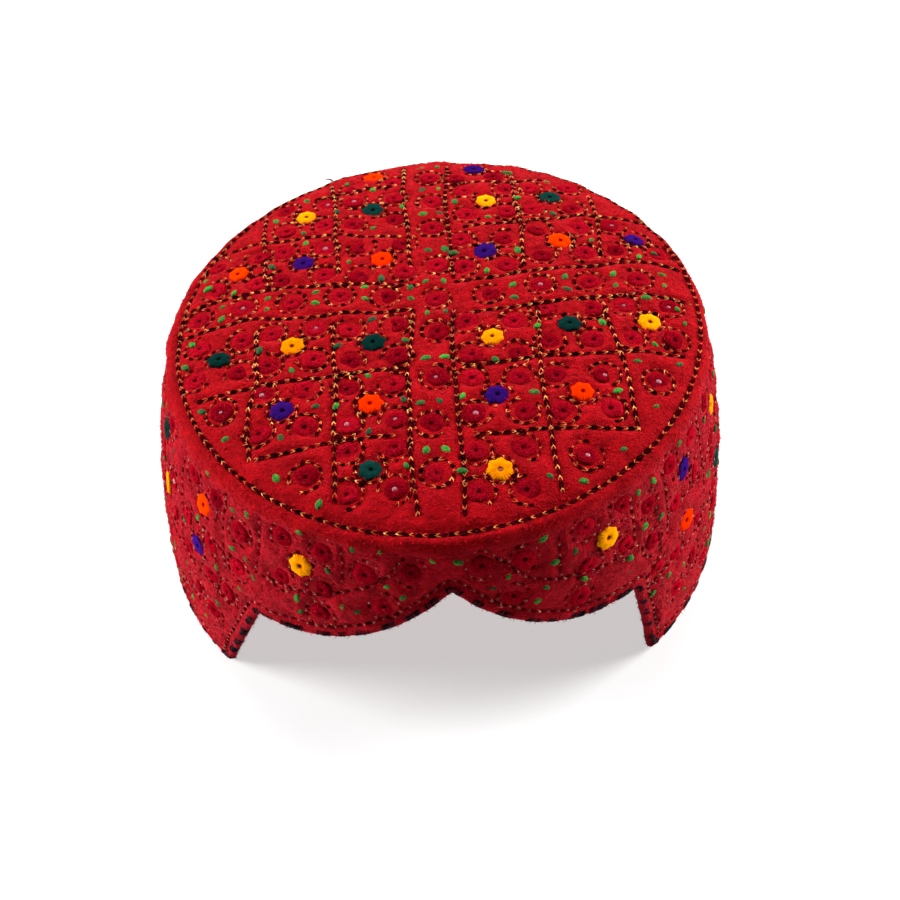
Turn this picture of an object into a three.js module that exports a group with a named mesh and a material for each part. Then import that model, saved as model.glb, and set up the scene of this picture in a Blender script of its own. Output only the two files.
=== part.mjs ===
// A Balochi cap: a round embroidered cap with a low domed crown, a flared hollow side band that is
// cut away over the forehead in two scallops between two pointed tabs, and a bound lower edge.
// Millimetres. +Z is up, the front of the cap faces -Y, and the cap stands on z = 0 on its own edge.
// The origin is on the ground under the middle of the cap's outer size.
// Angles go round the cap from the middle of its front (0), growing towards +X.
import * as THREE from "three";

// The outside of the band where it stands, for a head of about 57 cm round
const RIM = { halfWidth: 92, halfDepth: 94.6, x: 0, y: -1.55 };

// The outside of the band at its top, where the crown is sewn on
const SEAM = { halfWidth: 81.4, halfDepth: 83.8, x: 2.6, y: -4.95, height: 79.9 };
const SEAM_SLOPE_BACK = Math.tan(THREE.MathUtils.degToRad(2.9));
const SEAM_SLOPE_RIGHT = Math.tan(THREE.MathUtils.degToRad(0.3));

// How the band curves in: 1 would be a straight cone, more keeps it upright for longer
const BAND_BOW = 2.1;

const CLOTH = 2.5;
const GAP = 0.3;

// The crown: a ring of stitches runs a little inside its edge, and the dome rises from there
const RING_INSET = 3.1;
const RING_RISE = 1.0;
const DOME_RISE = 7.4;
const CROWN_EDGE_DROP = 1.6;

// The crown's rounded edge, from the ring outwards: how far in from the edge, and how far above the seam
const CROWN_SHOULDER = [
  { inset: 1.5, rise: 0.8 },
  { inset: 0.5, rise: 0.3 },
  { inset: 0.0, rise: -0.5 },
  { inset: 0.0, rise: -CROWN_EDGE_DROP },
];
const DOME_ROWS = [0.25, 0.5, 0.7, 0.86, 1.0];

// The cut-out over the forehead: a cusp in the middle, a notch on each side, and a tab outside each notch
const CUSP = { angle: 0.9, height: 59.8, corner: 0.6 };
const NOTCH_HEIGHT = 37;
const NOTCH_CORNER = 0.6;
const TIP_CORNER = 4.5;
const LEFT = { notchAngle: -37.5, tipAngle: -48 };
const RIGHT = { notchAngle: 37.6, tipAngle: 42.8 };
const SCALLOP_POWER = 2.45;

// The binding: a soft roll along the whole lower edge, with a flat underside to stand on
const BINDING = { thickness: 3.4, height: 3.4 };
const BINDING_SECTION = [
  { out: 0.24, up: -0.5 },
  { out: 0.5, up: -0.22 },
  { out: 0.5, up: 0.22 },
  { out: 0.26, up: 0.5 },
  { out: -0.26, up: 0.5 },
  { out: -0.5, up: 0.22 },
  { out: -0.5, up: -0.22 },
  { out: -0.24, up: -0.5 },
];

// How finely the pieces are divided
const CROWN_STEPS = 72;
const BAND_ROWS = 5;
const SCALLOP_STEPS = 16;
const TAB_STEPS = 9;
const RIM_STEP = 5.6;
const CORNER_STEPS = 5;

const COLOURS = { crown: 0xc00f1e, band: 0xa50c1a, binding: 0x8e0d1c };

const UP = new THREE.Vector3(0, 0, 1);
const radians = THREE.MathUtils.degToRad;
const lerp = THREE.MathUtils.lerp;

function seamHeight(x, y) {
  return SEAM.height + SEAM_SLOPE_BACK * (y - SEAM.y) + SEAM_SLOPE_RIGHT * (x - SEAM.x);
}

function seamHeightAt(turn) {
  return seamHeight(SEAM.x + SEAM.halfWidth * Math.sin(turn), SEAM.y - SEAM.halfDepth * Math.cos(turn));
}

// A point of the band: turn in radians, height above the ground, and depth inwards from the outside
function bandPoint(turn, height, depth) {
  const share = height / seamHeightAt(turn);
  const flare = 1 - Math.abs(share) ** BAND_BOW;
  const halfWidth = lerp(SEAM.halfWidth, RIM.halfWidth, flare) - depth;
  const halfDepth = lerp(SEAM.halfDepth, RIM.halfDepth, flare) - depth;
  const x = lerp(RIM.x, SEAM.x, share) + halfWidth * Math.sin(turn);
  const y = lerp(RIM.y, SEAM.y, share) - halfDepth * Math.cos(turn);
  return new THREE.Vector3(x, y, height);
}

// The lower edge is drawn unrolled: x is the way round the rim in mm, y is the height
const unroll = (angle) => radians(angle) * RIM.halfWidth;
const turnOf = (point) => point.x / RIM.halfWidth;

function scallopHeight(angle, side) {
  const share = (angle - CUSP.angle) / (side.notchAngle - CUSP.angle);
  return NOTCH_HEIGHT + (CUSP.height - NOTCH_HEIGHT) * (1 - share) ** SCALLOP_POWER;
}

function spread(from, to, steps, makePoint) {
  return Array.from({ length: steps - 1 }, (_, i) => makePoint(lerp(from, to, (i + 1) / steps)));
}

function edgeCorners() {
  const at = (angle, height, corner = 0) => ({ point: new THREE.Vector2(unroll(angle), height), corner });
  const rimSteps = (from, to) => Math.round(Math.abs(unroll(to) - unroll(from)) / RIM_STEP);
  const tabEdge = (side) => (share) => at(
    lerp(side.tipAngle, side.notchAngle, share),
    NOTCH_HEIGHT * share,
  );
  return [
    at(-180, 0),
    ...spread(-180, LEFT.tipAngle, rimSteps(-180, LEFT.tipAngle), (angle) => at(angle, 0)),
    at(LEFT.tipAngle, 0, TIP_CORNER),
    ...spread(0, 1, TAB_STEPS, tabEdge(LEFT)),
    at(LEFT.notchAngle, NOTCH_HEIGHT, NOTCH_CORNER),
    ...spread(LEFT.notchAngle, CUSP.angle, SCALLOP_STEPS, (angle) => at(angle, scallopHeight(angle, LEFT))),
    at(CUSP.angle, CUSP.height, CUSP.corner),
    ...spread(CUSP.angle, RIGHT.notchAngle, SCALLOP_STEPS, (angle) => at(angle, scallopHeight(angle, RIGHT))),
    at(RIGHT.notchAngle, NOTCH_HEIGHT, NOTCH_CORNER),
    ...spread(1, 0, TAB_STEPS, tabEdge(RIGHT)),
    at(RIGHT.tipAngle, 0, TIP_CORNER),
    ...spread(RIGHT.tipAngle, 180, rimSteps(RIGHT.tipAngle, 180), (angle) => at(angle, 0)),
  ];
}

// The lower edge with its corners rounded by arcs, each point with the direction into the cloth
function edgeLine() {
  const corners = edgeCorners();
  const full = unroll(360);
  const line = [];
  corners.forEach(({ point, corner }, i) => {
    const before = corners[(i + corners.length - 1) % corners.length].point.clone();
    const after = corners[(i + 1) % corners.length].point.clone();
    before.x -= before.x > point.x ? full : 0;
    after.x += after.x < point.x ? full : 0;
    const into = point.clone().sub(before).normalize();
    const outof = after.sub(point).normalize();
    const turned = outof.angle() - into.angle();
    const turning = Math.atan2(Math.sin(turned), Math.cos(turned));
    if (corner === 0) {
      const along = into.clone().add(outof).normalize();
      line.push({ point, normal: new THREE.Vector2(-along.y, along.x) });
      return;
    }
    const cut = corner * Math.tan(Math.abs(turning) / 2);
    const start = point.clone().addScaledVector(into, -cut);
    const side = Math.sign(turning);
    const centre = start.clone().add(new THREE.Vector2(-into.y, into.x).multiplyScalar(side * corner));
    for (let step = 0; step <= CORNER_STEPS; step += 1) {
      const heading = into.angle() + turning * (step / CORNER_STEPS);
      const normal = new THREE.Vector2(-Math.sin(heading), Math.cos(heading));
      line.push({ point: centre.clone().addScaledVector(normal, -side * corner), normal });
    }
  });
  return line;
}

// Joins closed loops of points into one closed body, with its faces turned outwards
function skin(loops, ends) {
  const count = loops[0].length;
  const points = loops.flat();
  const index = [];
  const joinLoops = (a, b) => {
    for (let i = 0; i < count; i += 1) {
      const next = (i + 1) % count;
      index.push(a * count + i, a * count + next, b * count + next);
      index.push(a * count + i, b * count + next, b * count + i);
    }
  };
  for (let k = 0; k + 1 < loops.length; k += 1) {
    joinLoops(k, k + 1);
  }
  if (ends) {
    const last = (loops.length - 1) * count;
    points.push(ends.first, ends.last);
    for (let i = 0; i < count; i += 1) {
      const next = (i + 1) % count;
      index.push(points.length - 2, next, i);
      index.push(points.length - 1, last + i, last + next);
    }
  } else {
    joinLoops(loops.length - 1, 0);
  }
  if (signedVolume(points, index) < 0) {
    index.reverse();
  }
  const geometry = new THREE.BufferGeometry().setFromPoints(points);
  geometry.setIndex(index);
  geometry.computeVertexNormals();
  return geometry;
}

function signedVolume(points, index) {
  let volume = 0;
  for (let i = 0; i < index.length; i += 3) {
    const [a, b, c] = [points[index[i]], points[index[i + 1]], points[index[i + 2]]];
    volume += a.dot(b.clone().cross(c)) / 6;
  }
  return volume;
}

// One ellipse of the crown, set in from its edge and raised over the seam
function crownLoop(halfWidth, halfDepth, rise) {
  return Array.from({ length: CROWN_STEPS }, (_, i) => {
    const turn = (i / CROWN_STEPS) * 2 * Math.PI;
    const x = SEAM.x + halfWidth * Math.sin(turn);
    const y = SEAM.y - halfDepth * Math.cos(turn);
    return new THREE.Vector3(x, y, seamHeight(x, y) + rise);
  });
}

function makeCrown() {
  const ring = { halfWidth: SEAM.halfWidth - RING_INSET, halfDepth: SEAM.halfDepth - RING_INSET };
  const domeRise = (share) => RING_RISE + DOME_RISE * (1 - share ** 2);
  const domeLoop = (share, drop) => (
    crownLoop(ring.halfWidth * share, ring.halfDepth * share, domeRise(share) - drop)
  );
  const loops = [
    ...DOME_ROWS.map((share) => domeLoop(share, 0)),
    ...CROWN_SHOULDER.map(({ inset, rise }) => (
      crownLoop(SEAM.halfWidth - inset, SEAM.halfDepth - inset, rise)
    )),
    ...[...DOME_ROWS].reverse().map((share) => domeLoop(share, CLOTH)),
  ];
  const middle = (drop) => new THREE.Vector3(SEAM.x, SEAM.y, SEAM.height + domeRise(0) - drop);
  return skin(loops, { first: middle(0), last: middle(CLOTH) });
}

function makeBand(line) {
  const bandBottom = BINDING.height + GAP;
  const foot = line.map(({ point, normal }) => point.clone().addScaledVector(normal, bandBottom));
  const topDrop = CROWN_EDGE_DROP + GAP;
  const row = (share, depth) => foot.map((point) => {
    const turn = turnOf(point);
    return bandPoint(turn, lerp(point.y, seamHeightAt(turn) - topDrop, share), depth);
  });
  const shares = Array.from({ length: BAND_ROWS + 1 }, (_, i) => i / BAND_ROWS);
  return skin([
    ...shares.map((share) => row(share, 0)),
    ...[...shares].reverse().map((share) => row(share, CLOTH)),
  ]);
}

function makeBinding(line) {
  const middle = line.map(({ point, normal }) => {
    const centre = point.clone().addScaledVector(normal, BINDING.height / 2);
    return { centre, normal };
  });
  // The level direction out of the cloth, so that the underside is flat where the cap stands
  const outOf = (turn, height) => {
    const step = 0.01;
    const across = bandPoint(turn + step, height, 0).sub(bandPoint(turn - step, height, 0));
    return across.cross(UP).normalize();
  };
  return skin(BINDING_SECTION.map(({ out, up }) => middle.map(({ centre, normal }) => {
    const shifted = centre.clone().addScaledVector(normal, up * BINDING.height);
    const turn = turnOf(shifted);
    const surface = bandPoint(turn, shifted.y, CLOTH / 2);
    return surface.addScaledVector(outOf(turn, shifted.y), out * BINDING.thickness);
  })));
}

function piece(name, geometry, color) {
  const material = new THREE.MeshStandardMaterial({ color, roughness: 0.95, metalness: 0 });
  const mesh = new THREE.Mesh(geometry, material);
  mesh.name = name;
  return mesh;
}

const line = edgeLine();
const cap = new THREE.Group();
cap.name = "balochi_cap";
cap.add(piece("crown", makeCrown(), COLOURS.crown));
cap.add(piece("side_band", makeBand(line), COLOURS.band));
cap.add(piece("edge_binding", makeBinding(line), COLOURS.binding));

export default cap;
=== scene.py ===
# %% [markdown]
# # A Balochi cap
#
# This cap is cotton cloth that is hardly seen: hand embroidery covers it from edge to edge. The crown is a
# low dome, the side band flares down to the head, and the front is cut away over the forehead in two
# scallops. The script makes the cloth as two quilted skins and then sews on them: chain stitch in dark and
# gold thread, round buttonhole rosettes, satin knots, tiny mirrors, and slate thread over the edge.
#
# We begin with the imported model. It fixes where everything sits, so nothing here needs fitting by eye.

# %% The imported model
import math

import bpy
import numpy as np
from mathutils import Matrix, Vector, noise
from mathutils.kdtree import KDTree


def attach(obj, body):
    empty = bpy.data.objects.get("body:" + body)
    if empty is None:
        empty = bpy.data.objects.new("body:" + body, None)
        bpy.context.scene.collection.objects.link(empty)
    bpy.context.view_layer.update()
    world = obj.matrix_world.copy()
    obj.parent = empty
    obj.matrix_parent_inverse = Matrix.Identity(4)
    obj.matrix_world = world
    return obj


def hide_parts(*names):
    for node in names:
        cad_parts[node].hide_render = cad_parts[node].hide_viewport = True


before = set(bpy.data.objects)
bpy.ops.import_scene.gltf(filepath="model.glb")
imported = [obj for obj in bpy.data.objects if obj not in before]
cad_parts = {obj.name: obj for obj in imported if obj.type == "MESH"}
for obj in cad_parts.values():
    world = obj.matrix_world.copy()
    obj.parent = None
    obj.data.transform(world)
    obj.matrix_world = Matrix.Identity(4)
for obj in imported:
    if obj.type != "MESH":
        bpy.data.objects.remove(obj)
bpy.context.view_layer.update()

# %% [markdown]
# ## The camera
#
# The photo looks down on the cap at about 45 degrees from straight in front, and the camera was held a
# little crooked. A camera can be turned by hand until it looks right, but its place is better built from an
# angle, a height and a distance, because each of them can then be checked alone.

# %% The camera
MM = 0.001
VIEW = {"azimuth": 1.02, "elevation": 44.8, "roll": -4.57, "distance": 414.0}
LOOK_AT = Vector((4.76, -26.25, 48.5)) * MM
LENS = 53.71

azimuth = math.radians(VIEW["azimuth"])
elevation = math.radians(VIEW["elevation"])
roll = math.radians(VIEW["roll"])
away = Vector((
    math.sin(azimuth) * math.cos(elevation),
    -math.cos(azimuth) * math.cos(elevation),
    math.sin(elevation),
))
right = (-away).cross(Vector((0, 0, 1))).normalized()
up = right.cross(-away)
rolled_right = right * math.cos(roll) + up * math.sin(roll)
rolled_up = up * math.cos(roll) - right * math.sin(roll)

camera_data = bpy.data.cameras.new("camera")
camera_data.lens = LENS
camera_data.sensor_width = 36
camera_data.clip_start = 0.01
camera = bpy.data.objects.new("camera", camera_data)
camera.matrix_world = Matrix((rolled_right, rolled_up, away)).transposed().to_4x4()
camera.location = LOOK_AT + away * VIEW["distance"] * MM
bpy.context.scene.collection.objects.link(camera)
bpy.context.scene.camera = camera
print("camera at", [round(value, 3) for value in camera.location])

# %% [markdown]
# ## The shape of the cloth
#
# Every stitch has to lie on the cloth, so the cloth is first written as two plain functions: one gives the
# crown's outside from a point in its plan, the other gives the band's outside from the way round the cap and
# the height. Modelling the cloth by hand and projecting the stitches on it would work too, but with a
# function the cloth and the stitches can't drift apart.
#
# All lengths here are millimetres, because that is how one thinks of a stitch. They turn to metres when a
# mesh is made.

# %% The crown and the band as functions
RIM = {"half_width": 92.0, "half_depth": 94.6, "x": 0.0, "y": -1.55}
SEAM = {"half_width": 81.4, "half_depth": 83.8, "x": 2.6, "y": -4.95, "height": 79.9}
SLOPE_BACK = math.tan(math.radians(2.9))
SLOPE_RIGHT = math.tan(math.radians(0.3))
BAND_BOW = 2.1
CLOTH = 2.5
RING_INSET = 3.1
RING_RISE = 1.0
DOME_RISE = 4.6
DOME_POWER = 2.2
EDGE_RISE = 2.3
EDGE_POWER = 10.0
SHOULDER_RISE = 1.5

# Heights of the slow waves of hand work, and the step that finds which way is out of the cloth
BROAD_WAVE = 0.22
CROSS_WAVE = 0.16
SHORT_WAVE = 0.12
PROBE = 0.05
RING = {"half_width": SEAM["half_width"] - RING_INSET, "half_depth": SEAM["half_depth"] - RING_INSET}

# One millimetre round the band is measured at this radius
ROUND = 90.0


def seam_height(x, y):
    return SEAM["height"] + SLOPE_BACK * (y - SEAM["y"]) + SLOPE_RIGHT * (x - SEAM["x"])


def seam_height_at(turn):
    x = SEAM["x"] + SEAM["half_width"] * np.sin(turn)
    y = SEAM["y"] - SEAM["half_depth"] * np.cos(turn)
    return seam_height(x, y)


def lerp(start, end, share):
    return start + (end - start) * share


def band_surface(plan):
    """plan: mm round the cap from its front, and height. Gives points on the band's outside."""
    turn = plan[:, 0] / ROUND
    height = plan[:, 1]
    share = height / seam_height_at(turn)
    flare = 1 - np.abs(share) ** BAND_BOW
    half_width = lerp(SEAM["half_width"], RIM["half_width"], flare)
    half_depth = lerp(SEAM["half_depth"], RIM["half_depth"], flare)
    x = lerp(RIM["x"], SEAM["x"], share) + half_width * np.sin(turn)
    y = lerp(RIM["y"], SEAM["y"], share) - half_depth * np.cos(turn)
    return np.column_stack([x, y, height])


def ring_share(plan):
    return np.hypot(plan[:, 0] / RING["half_width"], plan[:, 1] / RING["half_depth"])


def crown_surface(plan):
    """plan: mm from the crown's middle, to the right and to the back. Gives points on its outside."""
    share = ring_share(plan)
    edge_share = np.hypot(plan[:, 0] / SEAM["half_width"], plan[:, 1] / SEAM["half_depth"])
    inset = np.clip((1 - edge_share) * SEAM["half_width"], 0, RING_INSET)
    shoulder = np.sqrt(1 - (1 - inset / RING_INSET) ** 2)
    rise = np.where(
        share <= 1,
        RING_RISE + DOME_RISE * (1 - share ** DOME_POWER) + EDGE_RISE * (1 - share ** EDGE_POWER),
        RING_RISE - SHOULDER_RISE * (1 - shoulder),
    )
    x = SEAM["x"] + plan[:, 0]
    y = SEAM["y"] + plan[:, 1]
    return np.column_stack([x, y, seam_height(x, y) + rise])


def unit(vectors):
    return vectors / np.linalg.norm(vectors, axis=1, keepdims=True)


def handwork(plan):
    """The slow waves of cloth that is sewn by hand, in mm out of the surface."""
    a, b = plan[:, 0], plan[:, 1]
    return (
        BROAD_WAVE * np.sin(a * 0.21 + 1.3) * np.sin(b * 0.17 + 0.4)
        + CROSS_WAVE * np.sin(a * 0.43 - b * 0.31)
        + SHORT_WAVE * np.sin(a * 0.29 + b * 0.52 + 2.1)
    )


def on_cloth(surface, plan, out):
    """Points that stand out from the cloth by so many mm, and the directions out of the cloth there."""
    plan = np.asarray(plan, dtype=float)
    here = surface(plan)
    east = surface(plan + (PROBE, 0)) - here
    north = surface(plan + (0, PROBE)) - here
    normal = unit(np.cross(east, north))
    reach = np.asarray(out) + handwork(plan)
    return here + normal * reach[:, None], normal


crown_top = crown_surface(np.zeros((1, 2)))[0]
print("crown's middle in mm:", crown_top.round(2))

# %% [markdown]
# ## The lower edge
#
# On the real cap the edge is one line: along the bottom, up the slanted side of a tab to a notch, and over
# the forehead in two hanging scallops that meet in a cusp. It is drawn here unrolled, on flat paper as a
# cap maker's pattern is, and bends round the head only when it is used.

# %% The lower edge, unrolled
CUSP = {"angle": 0.9, "height": 59.8, "corner": 0.6}
NOTCH = {"height": 37.0, "corner": 0.6}
TIP_CORNER = 4.5
LEFT = {"notch": -37.5, "tip": -48.0}
RIGHT = {"notch": 37.6, "tip": 42.8}
SCALLOP_POWER = 2.45
TAB_LENGTH = 41.0
SCALLOP_LENGTH = 66.0
EDGE_STEP = 0.85
ARC_STEPS = 8
BACK = 180.0


def round_mm(angle):
    return math.radians(angle) * ROUND


def corner(angle, height, radius=0.0):
    return (round_mm(angle), height, radius)


def edge_run(start, end, shape, length):
    """Points between two angles. shape gives the height at each share of the way."""
    steps = max(2, round(length / EDGE_STEP))
    return [corner(lerp(start, end, i / steps), shape(i / steps)) for i in range(1, steps)]


def level(share):
    return 0.0


def scallop(share_from_cusp):
    rise = CUSP["height"] - NOTCH["height"]
    return NOTCH["height"] + rise * (1 - share_from_cusp) ** SCALLOP_POWER


def edge_corners():
    return [
        corner(-BACK, 0),
        *edge_run(-BACK, LEFT["tip"], level, round_mm(BACK + LEFT["tip"])),
        corner(LEFT["tip"], 0, TIP_CORNER),
        *edge_run(LEFT["tip"], LEFT["notch"], lambda s: NOTCH["height"] * s, TAB_LENGTH),
        corner(LEFT["notch"], NOTCH["height"], NOTCH["corner"]),
        *edge_run(LEFT["notch"], CUSP["angle"], lambda s: scallop(1 - s), SCALLOP_LENGTH),
        corner(CUSP["angle"], CUSP["height"], CUSP["corner"]),
        *edge_run(CUSP["angle"], RIGHT["notch"], scallop, SCALLOP_LENGTH),
        corner(RIGHT["notch"], NOTCH["height"], NOTCH["corner"]),
        *edge_run(RIGHT["notch"], RIGHT["tip"], lambda s: NOTCH["height"] * (1 - s), TAB_LENGTH),
        corner(RIGHT["tip"], 0, TIP_CORNER),
        *edge_run(RIGHT["tip"], BACK, level, round_mm(BACK - RIGHT["tip"])),
    ]


def rounded_corner(before, here, after, radius):
    """Points round one corner of the line and, at each, the direction into the cloth."""
    into = (here - before) / np.linalg.norm(here - before)
    out_of = (after - here) / np.linalg.norm(after - here)
    start_heading = math.atan2(into[1], into[0])
    turned = math.atan2(out_of[1], out_of[0]) - start_heading
    turning = math.atan2(math.sin(turned), math.cos(turned))
    cut = radius * math.tan(abs(turning) / 2)
    side = math.copysign(1, turning)
    centre = here - into * cut + np.array([-into[1], into[0]]) * side * radius
    points = []
    normals = []
    for share in np.linspace(0, 1, ARC_STEPS + 1) if radius else [0.5]:
        heading = start_heading + turning * share
        normal = np.array([-math.sin(heading), math.cos(heading)])
        points.append(centre - normal * side * radius if radius else here)
        normals.append(normal)
    return points, normals


# %% The line and its directions
def edge_line():
    """The edge's points and, at each, the direction into the cloth, both in the unrolled plan."""
    corners = edge_corners()
    full = round_mm(2 * BACK)
    points = []
    normals = []
    for i, (x, height, radius) in enumerate(corners):
        before = np.array(corners[i - 1][:2])
        after = np.array(corners[(i + 1) % len(corners)][:2])
        before[0] -= full if before[0] > x else 0
        after[0] += full if after[0] < x else 0
        arc_points, arc_normals = rounded_corner(before, np.array([x, height]), after, radius)
        points += arc_points
        normals += arc_normals
    points = np.array(points)
    normals = np.array(normals)
    # A rounded corner starts before its sharp one, so the points that it passes are dropped
    keep = np.ones(len(points), dtype=bool)
    for i in range(1, len(points) - 1):
        back_step = points[i] - points[i - 1]
        along = np.array([normals[i][1], -normals[i][0]])
        keep[i] = back_step @ along > 0.02
    return points[keep], normals[keep]


def edge_height(across):
    """Height of the cloth's lower edge at so many mm round the cap."""
    order = np.argsort(edge_points[:, 0])
    return np.interp(across, edge_points[order, 0], edge_points[order, 1])


edge_points, edge_normals = edge_line()
print("lower edge:", len(edge_points), "points")

# %% [markdown]
# ## Making meshes
#
# Blender's meshes are lists of points and of faces. A few small helpers are enough for the whole cap: one
# turns such lists to an object, two join rings of points to a closed skin, as a knitter joins rows, and the
# last hangs a finished piece on the root and hides the CAD part that it stands for.

# %% Mesh helpers
def make_object(name, points, faces, materials=(), face_materials=None, smooth=True):
    mesh = bpy.data.meshes.new(name)
    mesh.from_pydata((np.asarray(points) * MM).tolist(), [], [list(map(int, face)) for face in faces])
    for material in materials:
        mesh.materials.append(material)
    if face_materials is not None:
        mesh.polygons.foreach_set("material_index", np.asarray(face_materials, dtype=np.int32))
    mesh.polygons.foreach_set("use_smooth", np.full(len(mesh.polygons), smooth))
    mesh.update()
    made = bpy.data.objects.new(name, mesh)
    bpy.context.scene.collection.objects.link(made)
    return made


def strip(first, second):
    """Faces between two closed rings of the same number of points."""
    count = len(first)
    return [
        (first[i], second[i], second[(i + 1) % count], first[(i + 1) % count])
        for i in range(count)
    ]


def closed_skin(rows, columns):
    """Faces, turned outwards, of a closed skin whose rows are closed rings of points."""
    faces = []
    for row in range(rows):
        following = (row + 1) % rows
        faces += strip(
            range(row * columns, (row + 1) * columns),
            range(following * columns, (following + 1) * columns),
        )
    return [face[::-1] for face in faces]


def triangles(piece):
    piece.data.calc_loop_triangles()
    return len(piece.data.loop_triangles)


def finish_piece(piece, slot, *nodes):
    """Tells the frame that the piece rides on the root, and hides the CAD parts that it stands for. slot is
    not used.
    """
    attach(piece, "root")
    if nodes:
        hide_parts(*nodes)
    print(piece.name, "has", triangles(piece), "triangles")


# %% [markdown]
# ## The embroidery chart of the crown
#
# Embroiderers work from a chart, and so does this script. The crown is quartered by two bands that cross in
# its middle. Each quarter is divided by lines of chain stitch into cells, and each cell has a coloured
# rosette in its middle with four maroon ones round it. Distances are mm from the crown's middle, to the
# right and to the back.

# %% Chart of the crown
CROWN_FLOWERS = {
    "yellow": [(17, -14), (64, -9), (16, -63), (-42, -11), (19, 53), (-40, 53)],
    "purple": [(17, 25), (65, 31), (16, 75), (17, -37), (-44, -36), (-40, 27)],
    "orange": [(41, 29), (41, -37), (-19, -37), (-15, 25), (-61, 27), (-18, 75)],
    "dark_green": [(40, 54), (40, -10), (-19, -60), (-18, -13), (-64, -12), (-18, 52)],
}

# Each line of chain stitch, in the direction in which its loops point
CROWN_LINES = [
    [(-6, 18), (-7, 40), (-8, 60), (-8, 80)],
    [(-7, -75), (-8, -50), (-8, -25), (-6, -1)],
    [(7, 78), (6, 60), (6, 40), (7, 14)],
    [(6, -2), (5, -25), (6, -50), (6, -76)],
    [(-76, 13), (-54, 16), (-30, 15), (-4, 11)],
    [(-77, 1), (-57, 3), (-37, 1), (-7, 0)],
    [(8, 11), (26, 14), (46, 16), (68, 19), (76, 17)],
    [(8, -4), (28, -1), (51, 2), (62, 3), (77, 1)],
    [(-29, 21), (-30, 46), (-32, 72)],
    [(-52, 21), (-53, 40), (-54, 57)],
    [(-70, 40), (-50, 41), (-30, 40), (-10, 36)],
    [(-37, 64), (-19, 66), (-11, 66)],
    [(29, 18), (29, 42), (28, 72)],
    [(53, 22), (54, 36), (53, 56)],
    [(12, 39), (28, 40), (48, 43), (68, 42)],
    [(10, 64), (24, 65), (38, 66)],
    [(32, -70), (30, -38), (31, -3)],
    [(55, -50), (55, -37), (53, -18), (51, -2)],
    [(9, -25), (32, -23), (47, -22), (72, -22)],
    [(10, -51), (30, -50), (55, -50)],
    [(-29, -69), (-29, -26), (-30, -3)],
    [(-53, -51), (-54, -34), (-52, -22), (-53, -3)],
    [(-69, -27), (-54, -26), (-40, -25), (-23, -25), (-10, -24)],
    [(-51, -52), (-33, -50), (-13, -49)],
]

# The ringed maroon rosettes that run along the two bands, and the lone ones near the edge
CROWN_BAND_FLOWERS = [
    (1, 70), (1, 54), (1, 39), (2, 20), (1, 4), (1, -10), (0, -29), (-2, -46), (-1, -63),
    (-72, 8), (-58, 9), (-43, 9), (-28, 9), (-14, 7), (17, 5), (33, 8), (48, 9), (63, 10),
]
CROWN_LONE_FLOWERS = [(-37, -60), (-62, -33), (40, -59), (63, -33), (61, 50), (-60, 48)]
CROWN_KNOTS = [
    (-45, -59), (-33, -69), (-68, -31), (-60, -43), (50, -57), (38, -67), (29, -66), (58, -26), (70, -26),
    (61, -42), (-73, -3), (73, -3), (70, 24), (-70, 22), (-27, 72), (27, 71),
]
# Half the distance between the two green knots that sit side by side in a band
KNOT_HALF_GAP = 2.7

# %% [markdown]
# ## The embroidery chart of the band
#
# The band carries the same cells. Its chart is given by the angle round the cap, 0 in front and growing to
# the cap's left as it is worn, and the height above the ground. The part that the front shows was charted
# one by one. The pattern goes on round the back in even columns.

# %% Chart of the band
BAND_FLOWERS = {
    "yellow": [(-71.5, 49), (-27.8, 63), (31.7, 63), (73, 64)],
    "purple": [(-55.2, 45), (54.6, 63)],
    "orange": [(-53.5, 63), (53.7, 44)],
    "dark_green": [(-75, 66), (72.6, 42)],
}
BAND_LINES = [
    [(-37.6, 54), (-37.6, 73)], [(38, 70), (38, 55)], [(-46.7, 46), (-46.7, 74)], [(47.5, 70), (47.5, 47)],
    [(-19.6, 61), (-19.6, 74)], [(21.6, 70), (21.6, 56)],
    [(-62.3, 36), (-62.2, 74)], [(62.6, 74), (62.6, 36)],
    [(-24, 55), (-20.5, 57), (-17.4, 59), (-14, 61), (-11, 65), (-9.1, 70)],
    [(10, 69), (12.5, 65), (15.3, 60), (18.5, 58), (22, 56)],
    [(-36, 53), (-30, 54), (-24, 55)], [(22, 56), (30, 54), (37, 54)],
    [(-61, 54), (-54, 54), (-47.5, 53)], [(48.5, 54), (56, 54), (62, 55)],
    [(-81, 57), (-72, 57), (-63, 56)], [(63, 54), (72, 54), (81, 55)],
    [(-81, 35), (-62, 35), (-52, 35), (-43, 33)], [(42, 34), (52, 35), (62, 35), (81, 35)],
]
BAND_RINGED = [
    (-42.4, 64), (-42.6, 50), (-45.8, 37), (42.4, 64), (42.6, 50), (43.6, 37),
    (-15, 65), (-6.4, 67), (-23.7, 47.5), (-11.4, 55), (14.6, 67), (24.8, 47), (12, 55.5), (31.6, 41),
    (-31.5, 43), (6.5, 68), (-57.5, 24), (-51, 22), (57, 24), (49.5, 20),
]
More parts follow.
